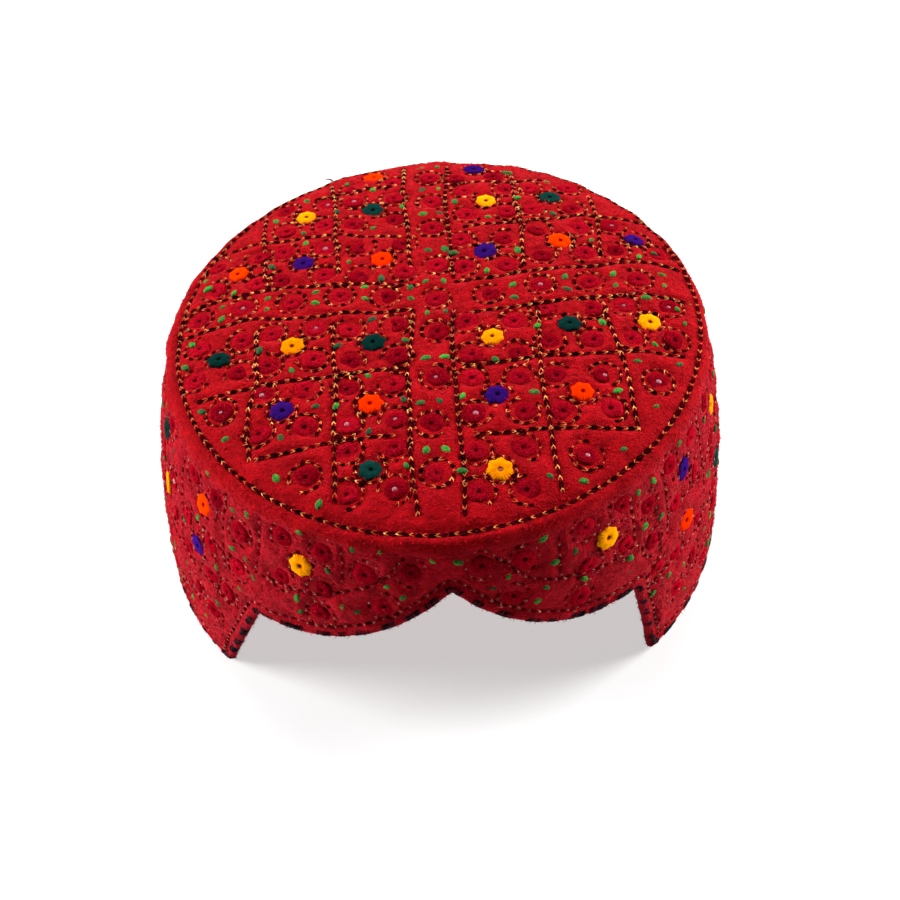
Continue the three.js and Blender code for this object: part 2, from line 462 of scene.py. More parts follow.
BAND_KNOTS = [
    (-52.9, 75), (-40.3, 72), (-44.5, 70), (-28.2, 74), (-60.9, 48), (-60.5, 30), (-55, 56.5), (-48.9, 44),
    (-44.1, 57), (-40.3, 56), (-38.3, 51), (-42, 43), (-54.6, 14), (-48.6, 29), (-22.1, 64), (-28.4, 51),
    (-27.8, 46), (-19.2, 53), (-16.6, 52), (-7.8, 59), (-10.8, 62), (-2.4, 71), (-12, 73), (-17.3, 73),
    (44.3, 71), (40.1, 71), (45.1, 57), (40.6, 58), (53.8, 74), (64.3, 47), (61.6, 28), (36.2, 51),
    (35.9, 46), (46.5, 31), (51.7, 28), (42.2, 29), (53.2, 14), (65.7, 14), (24.4, 64), (20.3, 63),
    (25.9, 53), (16.5, 52), (18.2, 55.5), (8.4, 60), (11.2, 63), (18.4, 72), (2.2, 70),
]

# %% The even pattern round the back
BACK_COLUMNS = [93, 112.5, 132, 151.5, 171, -93, -112.5, -132, -151.5, -171]
BACK_COLOURS = ["purple", "yellow", "orange", "dark_green", "purple", "orange", "yellow", "purple"]
UPPER_ROW = 66.5
LOWER_ROW = 45
LOWER_ROW_SHIFT = 3
BACK_UPRIGHTS = [83, 102.75, 122.25, 141.75, 161.25, 180, -161.25, -141.75, -122.25, -102.75, -83]
UPRIGHT_HEIGHTS = (19, 45, 79)
BACK_LEVELS = (35, 55.5)
LEVEL_GAP = 1.3
LEVEL_BOW = 0.4


def band_plan(table):
    return [(round_mm(angle), height) for angle, height in table]


flowers = {
    colour: {"crown": list(places), "band": band_plan(BAND_FLOWERS[colour])}
    for colour, places in CROWN_FLOWERS.items()
}
for i, angle in enumerate(BACK_COLUMNS):
    for shift, row in ((0, UPPER_ROW), (LOWER_ROW_SHIFT, LOWER_ROW)):
        colour = BACK_COLOURS[(i + shift) % len(BACK_COLOURS)]
        flowers[colour]["band"].append((round_mm(angle), row))

band_lines = [band_plan(line) for line in BAND_LINES]
for angle in BACK_UPRIGHTS:
    band_lines.append(band_plan([(angle, height) for height in UPRIGHT_HEIGHTS]))
for height in BACK_LEVELS:
    for start, end in zip(BACK_UPRIGHTS, BACK_UPRIGHTS[1:]):
        end += 2 * BACK if start > 0 > end else 0
        middle = (start + end) / 2
        band_lines.append(band_plan([
            (start + LEVEL_GAP, height), (middle, height + LEVEL_BOW), (end - LEVEL_GAP, height),
        ]))
# The plan is cut along the back, so the cell that lies over the cut has its lines on both sides of it
for height in BACK_LEVELS:
    band_lines.append(band_plan([(-178.7, height), (-170.6, height + LEVEL_BOW), (-162.5, height)]))
print("coloured rosettes:", {colour: len(on["crown"]) + len(on["band"]) for colour, on in flowers.items()})

# %% [markdown]
# ## Filling the cells
#
# Round each coloured rosette sit four maroon ones, partly ringed by chain stitch, with green knots between
# them. The hand that sewed them wandered a little, so each is moved by a seeded random amount: the same
# wandering comes out on every run.

# %% Filling the cells
rng = np.random.default_rng(41)
CELL_CORNER = 6.7
KNOT_REACH = 10.0
KNOT_SHARE = 0.62
FLOWER_RADIUS = 3.75
RING_RADIUS = 4.6
OUTLINE_RADIUS = 4.3
RING_STEP = 0.3
WANDER = 0.45
TOP_MARGIN = 77.0
EDGE_MARGIN = 4.0
RINGED_MARGIN = 4.2
CORNER_MARGIN = {"crown": 2.2, "band": 4.0}
CORNERS = ((-1, -1), (1, -1), (1, 1), (-1, 1))
SIDES = ((0, -1), (1, 0), (0, 1), (-1, 0))

maroon = {"crown": [], "band": []}
knots = {"crown": [], "band": []}
rings = {"crown": [], "band": []}
ringed = {"crown": CROWN_BAND_FLOWERS + CROWN_LONE_FLOWERS, "band": band_plan(BAND_RINGED)}


def fits(where, place, margin):
    """Whether a place is on the cloth with so many mm to spare."""
    if where == "crown":
        return ring_share(np.array([place]))[0] < 1 - margin / RING["half_width"]
    return edge_height(place[0]) + margin + EDGE_MARGIN < place[1] < TOP_MARGIN - margin + EDGE_MARGIN


def clear_of(place, others, gap):
    return all(math.hypot(place[0] - x, place[1] - y) > gap for x, y in others)


def coloured_on(where):
    return [place for on in flowers.values() for place in on[where]]


def ring_round(place, radius, start, extent):
    angles = start + np.linspace(0, extent, max(4, round(extent / RING_STEP)))
    return [(place[0] + radius * math.cos(a), place[1] + radius * math.sin(a)) for a in angles]


def add_maroon(where, place, least, most):
    """A maroon rosette with its ring of stitches, which goes so many degrees round it."""
    maroon[where].append(place)
    extent = math.radians(rng.uniform(least, most))
    start = rng.uniform(0, 2 * math.pi)
    rings[where].append(ring_round(place, RING_RADIUS, start, extent))


def wandered(x, y):
    step = rng.uniform(-WANDER, WANDER, 2)
    return (x + step[0], y + step[1])


for where in ("crown", "band"):
    for place in ringed[where]:
        if fits(where, place, RINGED_MARGIN):
            add_maroon(where, place, 270, 345)
    for x, y in coloured_on(where):
        for side_x, side_y in CORNERS:
            place = wandered(x + side_x * CELL_CORNER, y + side_y * CELL_CORNER)
            if fits(where, place, CORNER_MARGIN[where]) and clear_of(place, maroon[where], 6.6):
                add_maroon(where, place, 170, 290)
        for side_x, side_y in SIDES:
            place = wandered(x + side_x * KNOT_REACH, y + side_y * KNOT_REACH)
            if where == "crown" and rng.uniform() < KNOT_SHARE and fits(where, place, 2.4):
                if clear_of(place, maroon[where], 4.9) and clear_of(place, knots[where], 5.0):
                    knots[where].append(place)
print("maroon rosettes:", {where: len(places) for where, places in maroon.items()})

# %% The broken outline of each coloured rosette
for where in ("crown", "band"):
    for place in coloured_on(where):
        start = rng.uniform(0, 2 * math.pi)
        extent = math.radians(rng.uniform(180, 320))
        rings[where].append(ring_round(place, OUTLINE_RADIUS, start, extent))

# %% Knots and the band's lower rows
PAIR_REACH = 7.6
ROW_ABOVE_EDGE = 11.5
BORDER_COLUMNS = [angle for angle in range(-176, 180, 8) if abs(angle) > 56]
LOWEST_CELLS = {"columns": BACK_COLUMNS + [-75, 73], "height": 26.5, "knot_reach": 11.5}
BACK_KNOTS = {"share": 0.7, "across": 11.0, "up": 9.0}
BORDER_HEIGHT = 18.0

for x, y in CROWN_BAND_FLOWERS:
    along = (0, 1) if abs(x) < 4 else (1, 0)
    for side in (-1, 1):
        place = (
            x + along[0] * PAIR_REACH + along[1] * side * KNOT_HALF_GAP,
            y + along[1] * PAIR_REACH + along[0] * side * KNOT_HALF_GAP,
        )
        if fits("crown", place, 2.0):
            knots["crown"].append(place)
knots["crown"] += CROWN_KNOTS
knots["band"] += band_plan(BAND_KNOTS)

for angle in BORDER_COLUMNS:
    add_maroon("band", (round_mm(angle), ROW_ABOVE_EDGE), 260, 340)
    for side in (-1, 1):
        knots["band"].append((round_mm(angle + 4), ROW_ABOVE_EDGE + side * KNOT_HALF_GAP))
for angle in LOWEST_CELLS["columns"]:
    x, y = round_mm(angle), LOWEST_CELLS["height"]
    for side in (-1, 1):
        add_maroon("band", (x + side * CELL_CORNER, y), 200, 300)
    for side in (-1, 0, 1):
        knots["band"].append((x + side * LOWEST_CELLS["knot_reach"], y + rng.uniform(-1, 1)))
    for row in (UPPER_ROW, LOWER_ROW):
        for side_x, side_y in SIDES:
            if rng.uniform() < BACK_KNOTS["share"]:
                knots["band"].append((x + side_x * BACK_KNOTS["across"], row + side_y * BACK_KNOTS["up"]))
for start, end in ((-180, -54), (54, 181)):
    band_lines.append([(round_mm(angle), BORDER_HEIGHT) for angle in range(start, end, 3)])
print("green knots:", {where: len(places) for where, places in knots.items()})

# %% [markdown]
# ## Lines that the needle follows
#
# A line from the chart has only a few corners. The needle needs points close together, so each line is cut
# to short steps, with a slight waver. The ring that runs round the crown's edge and the border that follows
# the cap's lower edge are added here, because they come from the shape and not from the chart.

# %% Lines of stitches
GUIDE_STEP = 1.0
WAVER = 0.3
BORDER_ABOVE_EDGE = 4.3
RING_STEPS = 480
RING_INSETS = {"front": 2.9, "back": 0.5, "left": 2.0}


def cut_up(line):
    line = np.asarray(line, dtype=float)
    lengths = np.hypot(*np.diff(line, axis=0).T)
    reach = np.concatenate([[0], np.cumsum(lengths)])
    steps = max(2, round(reach[-1] / GUIDE_STEP))
    at = np.linspace(0, reach[-1], steps + 1)
    points = np.column_stack([np.interp(at, reach, line[:, 0]), np.interp(at, reach, line[:, 1])])
    phase = rng.uniform(0, 2 * math.pi, 2)
    points[:, 0] += WAVER * np.sin(at * 0.19 + phase[0])
    points[:, 1] += WAVER * np.sin(at * 0.23 + phase[1])
    return points


def crown_ring():
    """The closed ring of stitches, which lies nearer to the crown's edge at the back."""
    turns = np.linspace(2 * math.pi, 0, RING_STEPS, endpoint=False)
    inset = lerp(RING_INSETS["front"], RING_INSETS["back"], (1 - np.cos(turns)) / 2)
    inset += RING_INSETS["left"] * np.clip(-np.sin(turns), 0, 1) ** 2
    return np.column_stack([
        (SEAM["half_width"] - inset) * np.sin(turns),
        -(SEAM["half_depth"] - inset) * np.cos(turns),
    ])


lines = {"crown": list(map(cut_up, CROWN_LINES)), "band": list(map(cut_up, band_lines))}
closed_lines = {"crown": [crown_ring()], "band": [edge_points + edge_normals * BORDER_ABOVE_EDGE]}
ring_lines = {where: [np.asarray(ring) for ring in rings[where]] for where in rings}
stitch_points = {}
for where in ("crown", "band"):
    stitch_points[where] = np.concatenate(lines[where] + closed_lines[where] + ring_lines[where])
    print(where, "needle points:", len(stitch_points[where]))

# %% [markdown]
# ## How the cloth puckers
#
# Each stitch pulls the cloth in and the cloth swells between stitches. That is why an embroidered cap looks
# quilted. The depth of a point depends only on how far the nearest stitch is, which a k-d tree finds
# quickly. A displacement texture could fake it, but then the stitches wouldn't lie in their own dents.

# %% Puckering
PULL = 0.42
SWELL = 0.62
SOFTNESS = 1.6
LUMP = 0.16
LUMP_SIZE = 2.6
FLOWER_FOOT = 0.5
FLOWER_BLEND = 1.2


def tree_of(points):
    """A k-d tree of points in a plan or in space."""
    tree = KDTree(len(points))
    for i, point in enumerate(points):
        tree.insert((*point, 0)[:3], i)
    tree.balance()
    return tree


needle_trees = {where: tree_of(points) for where, points in stitch_points.items()}
flower_middles = {where: maroon[where] + coloured_on(where) for where in maroon}
flower_trees = {where: tree_of(middles) for where, middles in flower_middles.items()}


def pucker(where, plan):
    """Height of the cloth over its pulled-in level, in mm, less the pull."""
    away_from_stitch = np.array([needle_trees[where].find((x, y, 0))[2] for x, y in plan])
    away_from_flower = np.array([flower_trees[where].find((x, y, 0))[2] for x, y in plan])
    lumps = np.array([noise.noise((x / LUMP_SIZE, y / LUMP_SIZE, 0)) for x, y in plan])
    beside_flower = np.clip((away_from_flower - FLOWER_RADIUS + FLOWER_FOOT) / FLOWER_BLEND, 0, 1)
    swell = SWELL * (1 - np.exp(-(away_from_stitch / SOFTNESS) ** 2)) * beside_flower
    return swell - PULL + LUMP * lumps * beside_flower


sample = pucker("crown", CROWN_BAND_FLOWERS)
print("the cloth stands", sample.min().round(2), "to", sample.max().round(2), "mm under the rosettes")

# %% [markdown]
# ## Shared finishes
#
# Brushed cotton has short fibres standing off it, which soften its light and break its colour up. Thread has
# a twist that catches the light. Both are used by several materials, so each is a shader node group: it puts
# out only a mask and a height, and every material turns them to its own colours and its own relief.

# %% Node helpers
def feed(tree, socket, value):
    """Links another node's output to a socket, or sets the socket to a constant."""
    if isinstance(value, bpy.types.NodeSocket):
        tree.links.new(value, socket)
    elif socket.type == "RGBA":
        socket.default_value = (*value, 1)
    else:
        socket.default_value = value


def pin(sockets, which):
    if isinstance(which, int):
        return sockets[which]
    return next(socket for socket in sockets if socket.enabled and socket.name == which)


def add_node(tree, kind, inputs=(), **settings):
    """A new node. inputs: for the name or number of a socket, a constant or another node's output."""
    node = tree.nodes.new(kind)
    for key, value in settings.items():
        setattr(node, key, value)
    for which, value in dict(inputs).items():
        feed(tree, pin(node.inputs, which), value)
    return node


def calculate(tree, operation, *values):
    return add_node(tree, "ShaderNodeMath", dict(enumerate(values)), operation=operation).outputs[0]


def remap(tree, value, from_low, from_high, to_low=0.0, to_high=1.0):
    ends = {"From Min": from_low, "From Max": from_high, "To Min": to_low, "To Max": to_high}
    return add_node(tree, "ShaderNodeMapRange", {"Value": value, **ends}).outputs["Result"]


def mix_colours(tree, low, high, factor, **settings):
    """Each colour is three numbers or another node's output."""
    mix = add_node(tree, "ShaderNodeMix", data_type="RGBA", **settings)
    for name, value in (("Factor", factor), ("A", low), ("B", high)):
        feed(tree, pin(mix.inputs, name), value)
    return pin(mix.outputs, "Result")


def new_group(name, kind, inputs, outputs):
    """An empty node group. inputs: (name, kind of socket, value). outputs: (name, kind of socket)."""
    tree = bpy.data.node_groups.new(name, kind)
    for socket_name, socket_kind, value in inputs:
        made = tree.interface.new_socket(socket_name, in_out="INPUT", socket_type="NodeSocket" + socket_kind)
        if value is not None:
            made.default_value = value
    for socket_name, socket_kind in outputs:
        tree.interface.new_socket(socket_name, in_out="OUTPUT", socket_type="NodeSocket" + socket_kind)
    return tree, add_node(tree, "NodeGroupInput").outputs, add_node(tree, "NodeGroupOutput").inputs


# %% The nap of brushed cotton
nap_group, nap_in, nap_out = new_group(
    "Cotton nap", "ShaderNodeTree",
    [("Mottle size", "Float", 260.0), ("Fibre size", "Float", 1500.0)],
    [("Mottle", "Float"), ("Fibres", "Float"), ("Height", "Float")],
)
place = add_node(nap_group, "ShaderNodeTexCoord").outputs["Object"]
mottle = add_node(nap_group, "ShaderNodeTexNoise", {
    "Vector": place, "Scale": nap_in["Mottle size"], "Detail": 6.0, "Roughness": 0.72,
}).outputs[0]
fibres = add_node(nap_group, "ShaderNodeTexNoise", {
    "Vector": place, "Scale": nap_in["Fibre size"], "Detail": 3.0, "Distortion": 1.6,
}).outputs[0]
feed(nap_group, nap_out["Mottle"], mottle)
feed(nap_group, nap_out["Fibres"], fibres)
feed(nap_group, nap_out["Height"], calculate(nap_group, "MULTIPLY_ADD", mottle, 0.9, fibres))

# %% The twist of thread
twist_group, twist_in, twist_out = new_group(
    "Thread twist", "ShaderNodeTree",
    [("Strands", "Float", 6.0), ("Slant", "Float", 0.5)],
    [("Groove", "Float"), ("Fray", "Float")],
)
thread_map = add_node(twist_group, "ShaderNodeUVMap", uv_map="thread").outputs["UV"]
parts = add_node(twist_group, "ShaderNodeSeparateXYZ", {"Vector": thread_map}).outputs
slanted = calculate(twist_group, "MULTIPLY_ADD", parts["Y"], twist_in["Slant"], parts["X"])
turns = calculate(twist_group, "MULTIPLY", slanted, twist_in["Strands"])
wave = calculate(twist_group, "SINE", calculate(twist_group, "MULTIPLY", turns, 2 * math.pi))
place = add_node(twist_group, "ShaderNodeTexCoord").outputs["Object"]
fray = add_node(twist_group, "ShaderNodeTexNoise", {"Vector": place, "Scale": 1500.0}).outputs[0]
feed(twist_group, twist_out["Groove"], calculate(twist_group, "ABSOLUTE", wave))
feed(twist_group, twist_out["Fray"], fray)
print("shared finishes:", nap_group.name, "and", twist_group.name)

# %% [markdown]
# ## The cloth's materials
#
# The outside is red cotton with a brushed, felted face: a deep red that pales a little where the fibres
# stand up. The sheen of the Principled shader gives the soft bright rim that napped cloth has. The inside is
# plain cloth of the same red, without nap.

# %% Cloth materials
CLOTH_FINISH = {
    "Roughness": 0.95,
    "Specular IOR Level": 0.04,
    "Sheen Roughness": 0.3,
    "Sheen Tint": (1.0, 0.15, 0.17),
}


def start_material(name):
    material = bpy.data.materials.new(name)
    material.use_nodes = True
    return material, material.node_tree


def finish_material(tree, inputs):
    """Feeds the inputs of the material's Principled shader."""
    for name, value in inputs.items():
        feed(tree, tree.nodes["Principled BSDF"].inputs[name], value)


def cloth_material(name, deep, bright, sheen, relief):
    material, tree = start_material(name)
    nap = add_node(tree, "ShaderNodeGroup", node_tree=nap_group).outputs
    half_fibres = calculate(tree, "MULTIPLY", nap["Fibres"], 0.5)
    both = calculate(tree, "MULTIPLY_ADD", nap["Mottle"], 0.5, half_fibres)
    bump = {"Strength": relief, "Distance": 0.0006, "Height": nap["Height"]}
    finish_material(tree, {
        "Base Color": mix_colours(tree, deep, bright, remap(tree, both, 0.37, 0.63)),
        "Normal": add_node(tree, "ShaderNodeBump", bump).outputs["Normal"],
        "Sheen Weight": sheen,
        **CLOTH_FINISH,
    })
    return material


red_face = cloth_material("brushed red cotton", (0.19, 0.0003, 0.002), (0.46, 0.001, 0.005), 0.17, 1.0)
band_face = cloth_material(
    "brushed red cotton of the band", (0.14, 0.0006, 0.004), (0.5, 0.002, 0.011), 0.28, 1.0)
inside_face = cloth_material(
    "plain red cotton inside", (0.26, 0.002, 0.008), (0.34, 0.003, 0.01), 0.1, 0.35)
roll_face = cloth_material(
    "red cotton of the rolled edge", (0.2, 0.001, 0.006), (0.4, 0.003, 0.013), 0.2, 1.0)
print("cloth materials:", [face.name for face in (red_face, band_face, inside_face, roll_face)])

# %% [markdown]
# ## The crown
#
# The crown is a round quilted top. A grid of squares can be squeezed to a disc so that its cells stay about
# the same size, which a grid of rings can't do: its cells would crowd in the middle. Each point is then
# pushed in or out by the pucker. Rings round the shoulder and under the crown close it to one solid skin.

# %% The crown's cloth
CROWN_GRID = 208
EDGE_INSETS = (2.5, 1.8, 1.2, 0.7, 0.3, 0.05)
UNDER_SHARES = (1.0, 0.9, 0.75, 0.55, 0.3, 0.12)

# The crown's cloth laps over the band: mm below the seam, share of the pucker, mm sunk, number of material
SKIRT = [
    (1.0, 0.2, -0.05, 0), (1.9, 0.5, -0.05, 0), (2.9, 0.9, -0.05, 2), (3.7, 1.0, -0.02, 2),
    (4.3, 1.0, 0.9, 2),
]


def disc_grid(steps):
    """Points of a square grid squeezed to the unit disc, and the ring of those on its rim."""
    line = np.linspace(-1, 1, steps + 1)
    a, b = np.meshgrid(line, line)
    wide = np.abs(a) >= np.abs(b)
    over = np.where(wide, np.where(a == 0, 1, a), np.where(b == 0, 1, b))
    turn = np.where(wide, b, a) / over * math.pi / 4
    angle = np.where(wide, turn, math.pi / 2 - turn)
    reach = np.where(wide, a, b)
    disc = np.column_stack([(reach * np.cos(angle)).ravel(), (reach * np.sin(angle)).ravel()])
    index = np.arange((steps + 1) ** 2).reshape(steps + 1, steps + 1)
    rim = np.concatenate([index[0, :-1], index[:-1, -1], index[-1, :0:-1], index[:0:-1, 0]])
    cells = np.stack([index[:-1, :-1], index[:-1, 1:], index[1:, 1:], index[1:, :-1]], axis=-1)
    return disc, rim, cells.reshape(-1, 4)


disc, rim, cells = disc_grid(CROWN_GRID)
turn_of_rim = np.arctan2(disc[rim, 1], disc[rim, 0])
turn_of_band = np.arctan2(np.cos(turn_of_rim), -np.sin(turn_of_rim))


def rim_loop(half_width, half_depth):
    return np.column_stack([half_width * np.cos(turn_of_rim), half_depth * np.sin(turn_of_rim)])


# Rings of points that go on from the grid's rim, each with the number of its faces' material
crown_rings = []
for inset in EDGE_INSETS:
    loop = rim_loop(SEAM["half_width"] - inset, SEAM["half_depth"] - inset)
    soft = lerp(0.3, 1.0, inset / RING_INSET)
    crown_rings.append((on_cloth(crown_surface, loop, pucker("crown", loop) * soft)[0], 0))
for depth, puckered, sunk, kind in SKIRT:
    loop = np.column_stack([turn_of_band * ROUND, seam_height_at(turn_of_band) - depth])
    crown_rings.append((on_cloth(band_surface, loop, pucker("band", loop) * puckered - sunk)[0], kind))
for share in UNDER_SHARES:
    loop = rim_loop(RING["half_width"] * share, RING["half_depth"] * share)
    crown_rings.append((crown_surface(loop) - (0, 0, CLOTH), 1))

# %% The crown's skin
plan = disc * (RING["half_width"], RING["half_depth"])
crown_points = [on_cloth(crown_surface, plan, pucker("crown", plan))[0]]
crown_faces = [tuple(cell) for cell in cells]
crown_kinds = [0] * len(crown_faces)
last_ring = rim
count = len(plan)
for points, kind in crown_rings:
    ring = np.arange(count, count + len(points))
    crown_points.append(points)
    crown_faces += strip(last_ring, ring)
    crown_kinds += [kind] * len(points)
    last_ring = ring
    count += len(points)
crown_points.append(crown_surface(np.zeros((1, 2))) - (0, 0, CLOTH))
crown_faces += [(last_ring[i], count, last_ring[(i + 1) % len(rim)]) for i in range(len(rim))]
crown_kinds += [1] * len(rim)
crown_cloth = make_object(
    "crown_cloth", np.concatenate(crown_points), crown_faces, [red_face, inside_face, band_face], crown_kinds
)
finish_piece(crown_cloth, "crown_cloth", "crown")

# %% [markdown]
# ## The side band
#
# The band is a tube with a wall, cut at the front. Each point of the lower edge carries a column of points
# up to the crown, outside and again inside, so that the cut-out follows its pattern exactly. The columns
# are close together and the inside has few rows, because it is smooth.

# %% The band's cloth
OUTSIDE_ROWS = 78
INSIDE_ROWS = 7
FOOT_IN_ROLL = 1.5
FOOT_BLEND = 2.0
BAND_TOP_DROP = 0.8
UNDER_SKIRT = 3.4
UNDER_SKIRT_DEPTH = 0.9

foot = edge_points + edge_normals * FOOT_IN_ROLL
band_top = seam_height_at(foot[:, 0] / ROUND) - BAND_TOP_DROP
band_rows = []
for share in np.linspace(0, 1, OUTSIDE_ROWS + 1):
    plan = np.column_stack([foot[:, 0], lerp(foot[:, 1], band_top, share)])
    under_crown = np.clip((plan[:, 1] - (band_top - UNDER_SKIRT)) / UNDER_SKIRT, 0, 1)
    near_foot = np.clip((plan[:, 1] - foot[:, 1]) / FOOT_BLEND, 0, 1)
    out = pucker("band", plan) * (1 - under_crown) * near_foot - UNDER_SKIRT_DEPTH * under_crown
    band_rows.append(on_cloth(band_surface, plan, out - handwork(plan) * under_crown)[0])
for share in np.linspace(1, 0, INSIDE_ROWS + 1):
    plan = np.column_stack([foot[:, 0], lerp(foot[:, 1], band_top, share)])
    band_rows.append(on_cloth(band_surface, plan, np.full(len(plan), -CLOTH) - handwork(plan))[0])

band_kinds = []
for row in range(len(band_rows)):
    band_kinds += [0 if row <= OUTSIDE_ROWS else 1] * len(foot)
band_faces = closed_skin(len(band_rows), len(foot))
band_cloth = make_object(
    "band_cloth", np.concatenate(band_rows), band_faces, [band_face, inside_face], band_kinds
)
finish_piece(band_cloth, "band_cloth", "side_band")

# %% [markdown]
# ## The rolled edge
#
# The cloth's lower edge is turned in and sewn over, which makes a firm roll that the cap stands on. It is a
# round section swept along the edge. The section is cut level where it would go below the ground.

# %% The rolled edge
ROLL_RADIUS = 1.4
ROLL_CENTRE = 1.5
ROLL_SIDES = 12

centre_plan = edge_points + edge_normals * ROLL_CENTRE
roll_centre, roll_out = on_cloth(band_surface, centre_plan, np.full(len(centre_plan), -CLOTH / 2))
roll_centre = roll_centre - roll_out * handwork(centre_plan)[:, None]
roll_into = unit(band_surface(centre_plan + edge_normals) - band_surface(centre_plan))
roll_along = np.concatenate([[0], np.cumsum(np.linalg.norm(np.diff(roll_centre, axis=0), axis=1))])
swell = ROLL_RADIUS * (1 + 0.05 * np.sin(roll_along * 0.66 + 0.7) + 0.03 * np.sin(roll_along * 1.9))
roll_rows = []
for side in range(ROLL_SIDES):
    around = 2 * math.pi * side / ROLL_SIDES
    row = roll_centre + swell[:, None] * (roll_out * math.cos(around) + roll_into * math.sin(around))
    row[:, 2] = np.maximum(row[:, 2], 0.0)
    roll_rows.append(row)
roll_faces = closed_skin(ROLL_SIDES, len(roll_centre))
edge_roll = make_object("edge_roll", np.concatenate(roll_rows), roll_faces, [roll_face])
finish_piece(edge_roll, "binding_cloth", "edge_binding")

# %% [markdown]
# ## Thread materials
#
# Embroidery silk is shinier than the cloth. Its colour shifts from stitch to stitch: every stitch below gets
# a random number called shade, and the material reads it. The shift is partly the thread's own uneven tone
# and partly painted sheen, because each stitch lies at its own angle to the light.

# %% Thread materials
LOOP_TIP = 0.4
LIT_AROUND_TIP = 0.12
# Tone multiplied into the thread's grooves: painted shade
GROOVE_SHADE_TONE = (0.62, 0.55, 0.5)
PATCH_TONE = (0.5, 0.42, 0.45)


def thread_material(name, deep, bright, roughness, shine, strands=3.0, slant=1.0, hole=None, mottle=1.0,
                    metal_and_painted_glint=0.0):
    material, tree = start_material(name)
    twist = add_node(tree, "ShaderNodeGroup", node_tree=twist_group)
    feed(tree, twist.inputs["Strands"], strands)
    feed(tree, twist.inputs["Slant"], slant)
    groove, fray = twist.outputs["Groove"], twist.outputs["Fray"]
    thread_map = add_node(tree, "ShaderNodeUVMap", uv_map="thread").outputs["UV"]
    along = add_node(tree, "ShaderNodeSeparateXYZ", {"Vector": thread_map}).outputs["Y"]
    shade = add_node(tree, "ShaderNodeAttribute", attribute_name="shade").outputs["Fac"]
    if metal_and_painted_glint:
        # Painted highlight: the colour is painted bright where a loop bends at its tip, where silk catches
        # the light, and falls to the deep tone towards its two ends
        from_tip = calculate(tree, "ABSOLUTE", calculate(tree, "SUBTRACT", along, LOOP_TIP))
        shade = calculate(tree, "MULTIPLY", remap(tree, from_tip, LIT_AROUND_TIP, LOOP_TIP, 1.0, 0.0), shade)
    colour = mix_colours(tree, deep, bright, shade)
    # Painted shade: the twist's grooves are painted darker, as shade lies in them
    painted_groove_shade = remap(tree, groove, 0.0, 0.5, 0.8, 0.0)
    colour = mix_colours(tree, colour, GROOVE_SHADE_TONE, painted_groove_shade, blend_type="MULTIPLY")
    patches = remap(tree, fray, 0.42, 0.66, 0.0, mottle)
    colour = mix_colours(tree, colour, PATCH_TONE, patches, blend_type="MULTIPLY")
    bump = {"Strength": 0.6, "Distance": 0.0002, "Height": groove}
    if hole is not None:
        # Painted shade: the inner part of a rosette is painted in the dark hole tone, for the shade down in
        # its hole
        colour = mix_colours(tree, colour, hole, remap(tree, along, 0.13, 0.27, 1.0, 0.0))
        finish_material(tree, {"Sheen Weight": 0.12, "Sheen Tint": bright})
    finish_material(tree, {
        "Base Color": colour,
        "Normal": add_node(tree, "ShaderNodeBump", bump).outputs["Normal"],
        "Roughness": roughness,
        "Specular IOR Level": shine,
        "Metallic": metal_and_painted_glint,
    })
    return material


# The fibres' bright tones are lighter than their cloth's: partly a painted highlight on tips that catch the
# light; between their two tones each fibre's tone differs at random
def fibre_material(name, deep, bright):
    material, tree = start_material(name)
    shade = add_node(tree, "ShaderNodeAttribute", attribute_name="shade").outputs["Fac"]
    finish_material(tree, {
        "Base Color": mix_colours(tree, deep, bright, shade),
        "Roughness": 0.9,
        "Specular IOR Level": 0.05,
    })
    return material


threads = {
    "dark": thread_material(
        "dark chain thread", (0.004, 0.0004, 0.001), (0.06, 0.002, 0.005), 0.75, 0.0),
    "gold": thread_material(
        "gold chain thread", (0.62, 0.07, 0.01), (1.0, 0.5, 0.12), 0.3, 0.3, metal_and_painted_glint=0.6),
    "dim_dark": thread_material(
        "dark thread in the nap", (0.02, 0.001, 0.003), (0.24, 0.001, 0.008), 0.75, 0.0),
    # The band's gold is painted pinker and brighter at its bright end than the crown's: a painted highlight
    # for the sparkle that the lamps give its dim front too little of
    "dim_gold": thread_material(
        "gold thread in the nap", (0.4, 0.015, 0.012), (1.0, 0.52, 0.32), 0.3, 0.3, metal_and_painted_glint=0.3),
    "green": thread_material(
        "leaf green silk", (0.022, 0.075, 0.03), (0.045, 0.3, 0.03), 0.7, 0.05, strands=5, slant=0.0),
    "slate": thread_material(
        "slate thread", (0.012, 0.012, 0.018), (0.045, 0.042, 0.06), 0.8, 0.0),
    "crown_nap": fibre_material(
        "standing fibres of the crown", (0.16, 0.0006, 0.004), (0.6, 0.006, 0.016)),
    "band_nap": fibre_material(
        "standing fibres of the band", (0.11, 0.0006, 0.004), (0.66, 0.012, 0.026)),
    "maroon_nap": fibre_material(
        "standing fibres of maroon silk", (0.18, 0.001, 0.006), (0.46, 0.006, 0.018)),
    "roll_nap": fibre_material(
        "standing fibres of the roll", (0.14, 0.0006, 0.005), (0.45, 0.004, 0.014)),
}
threads["sunk_maroon_nap"] = threads["band_nap"]

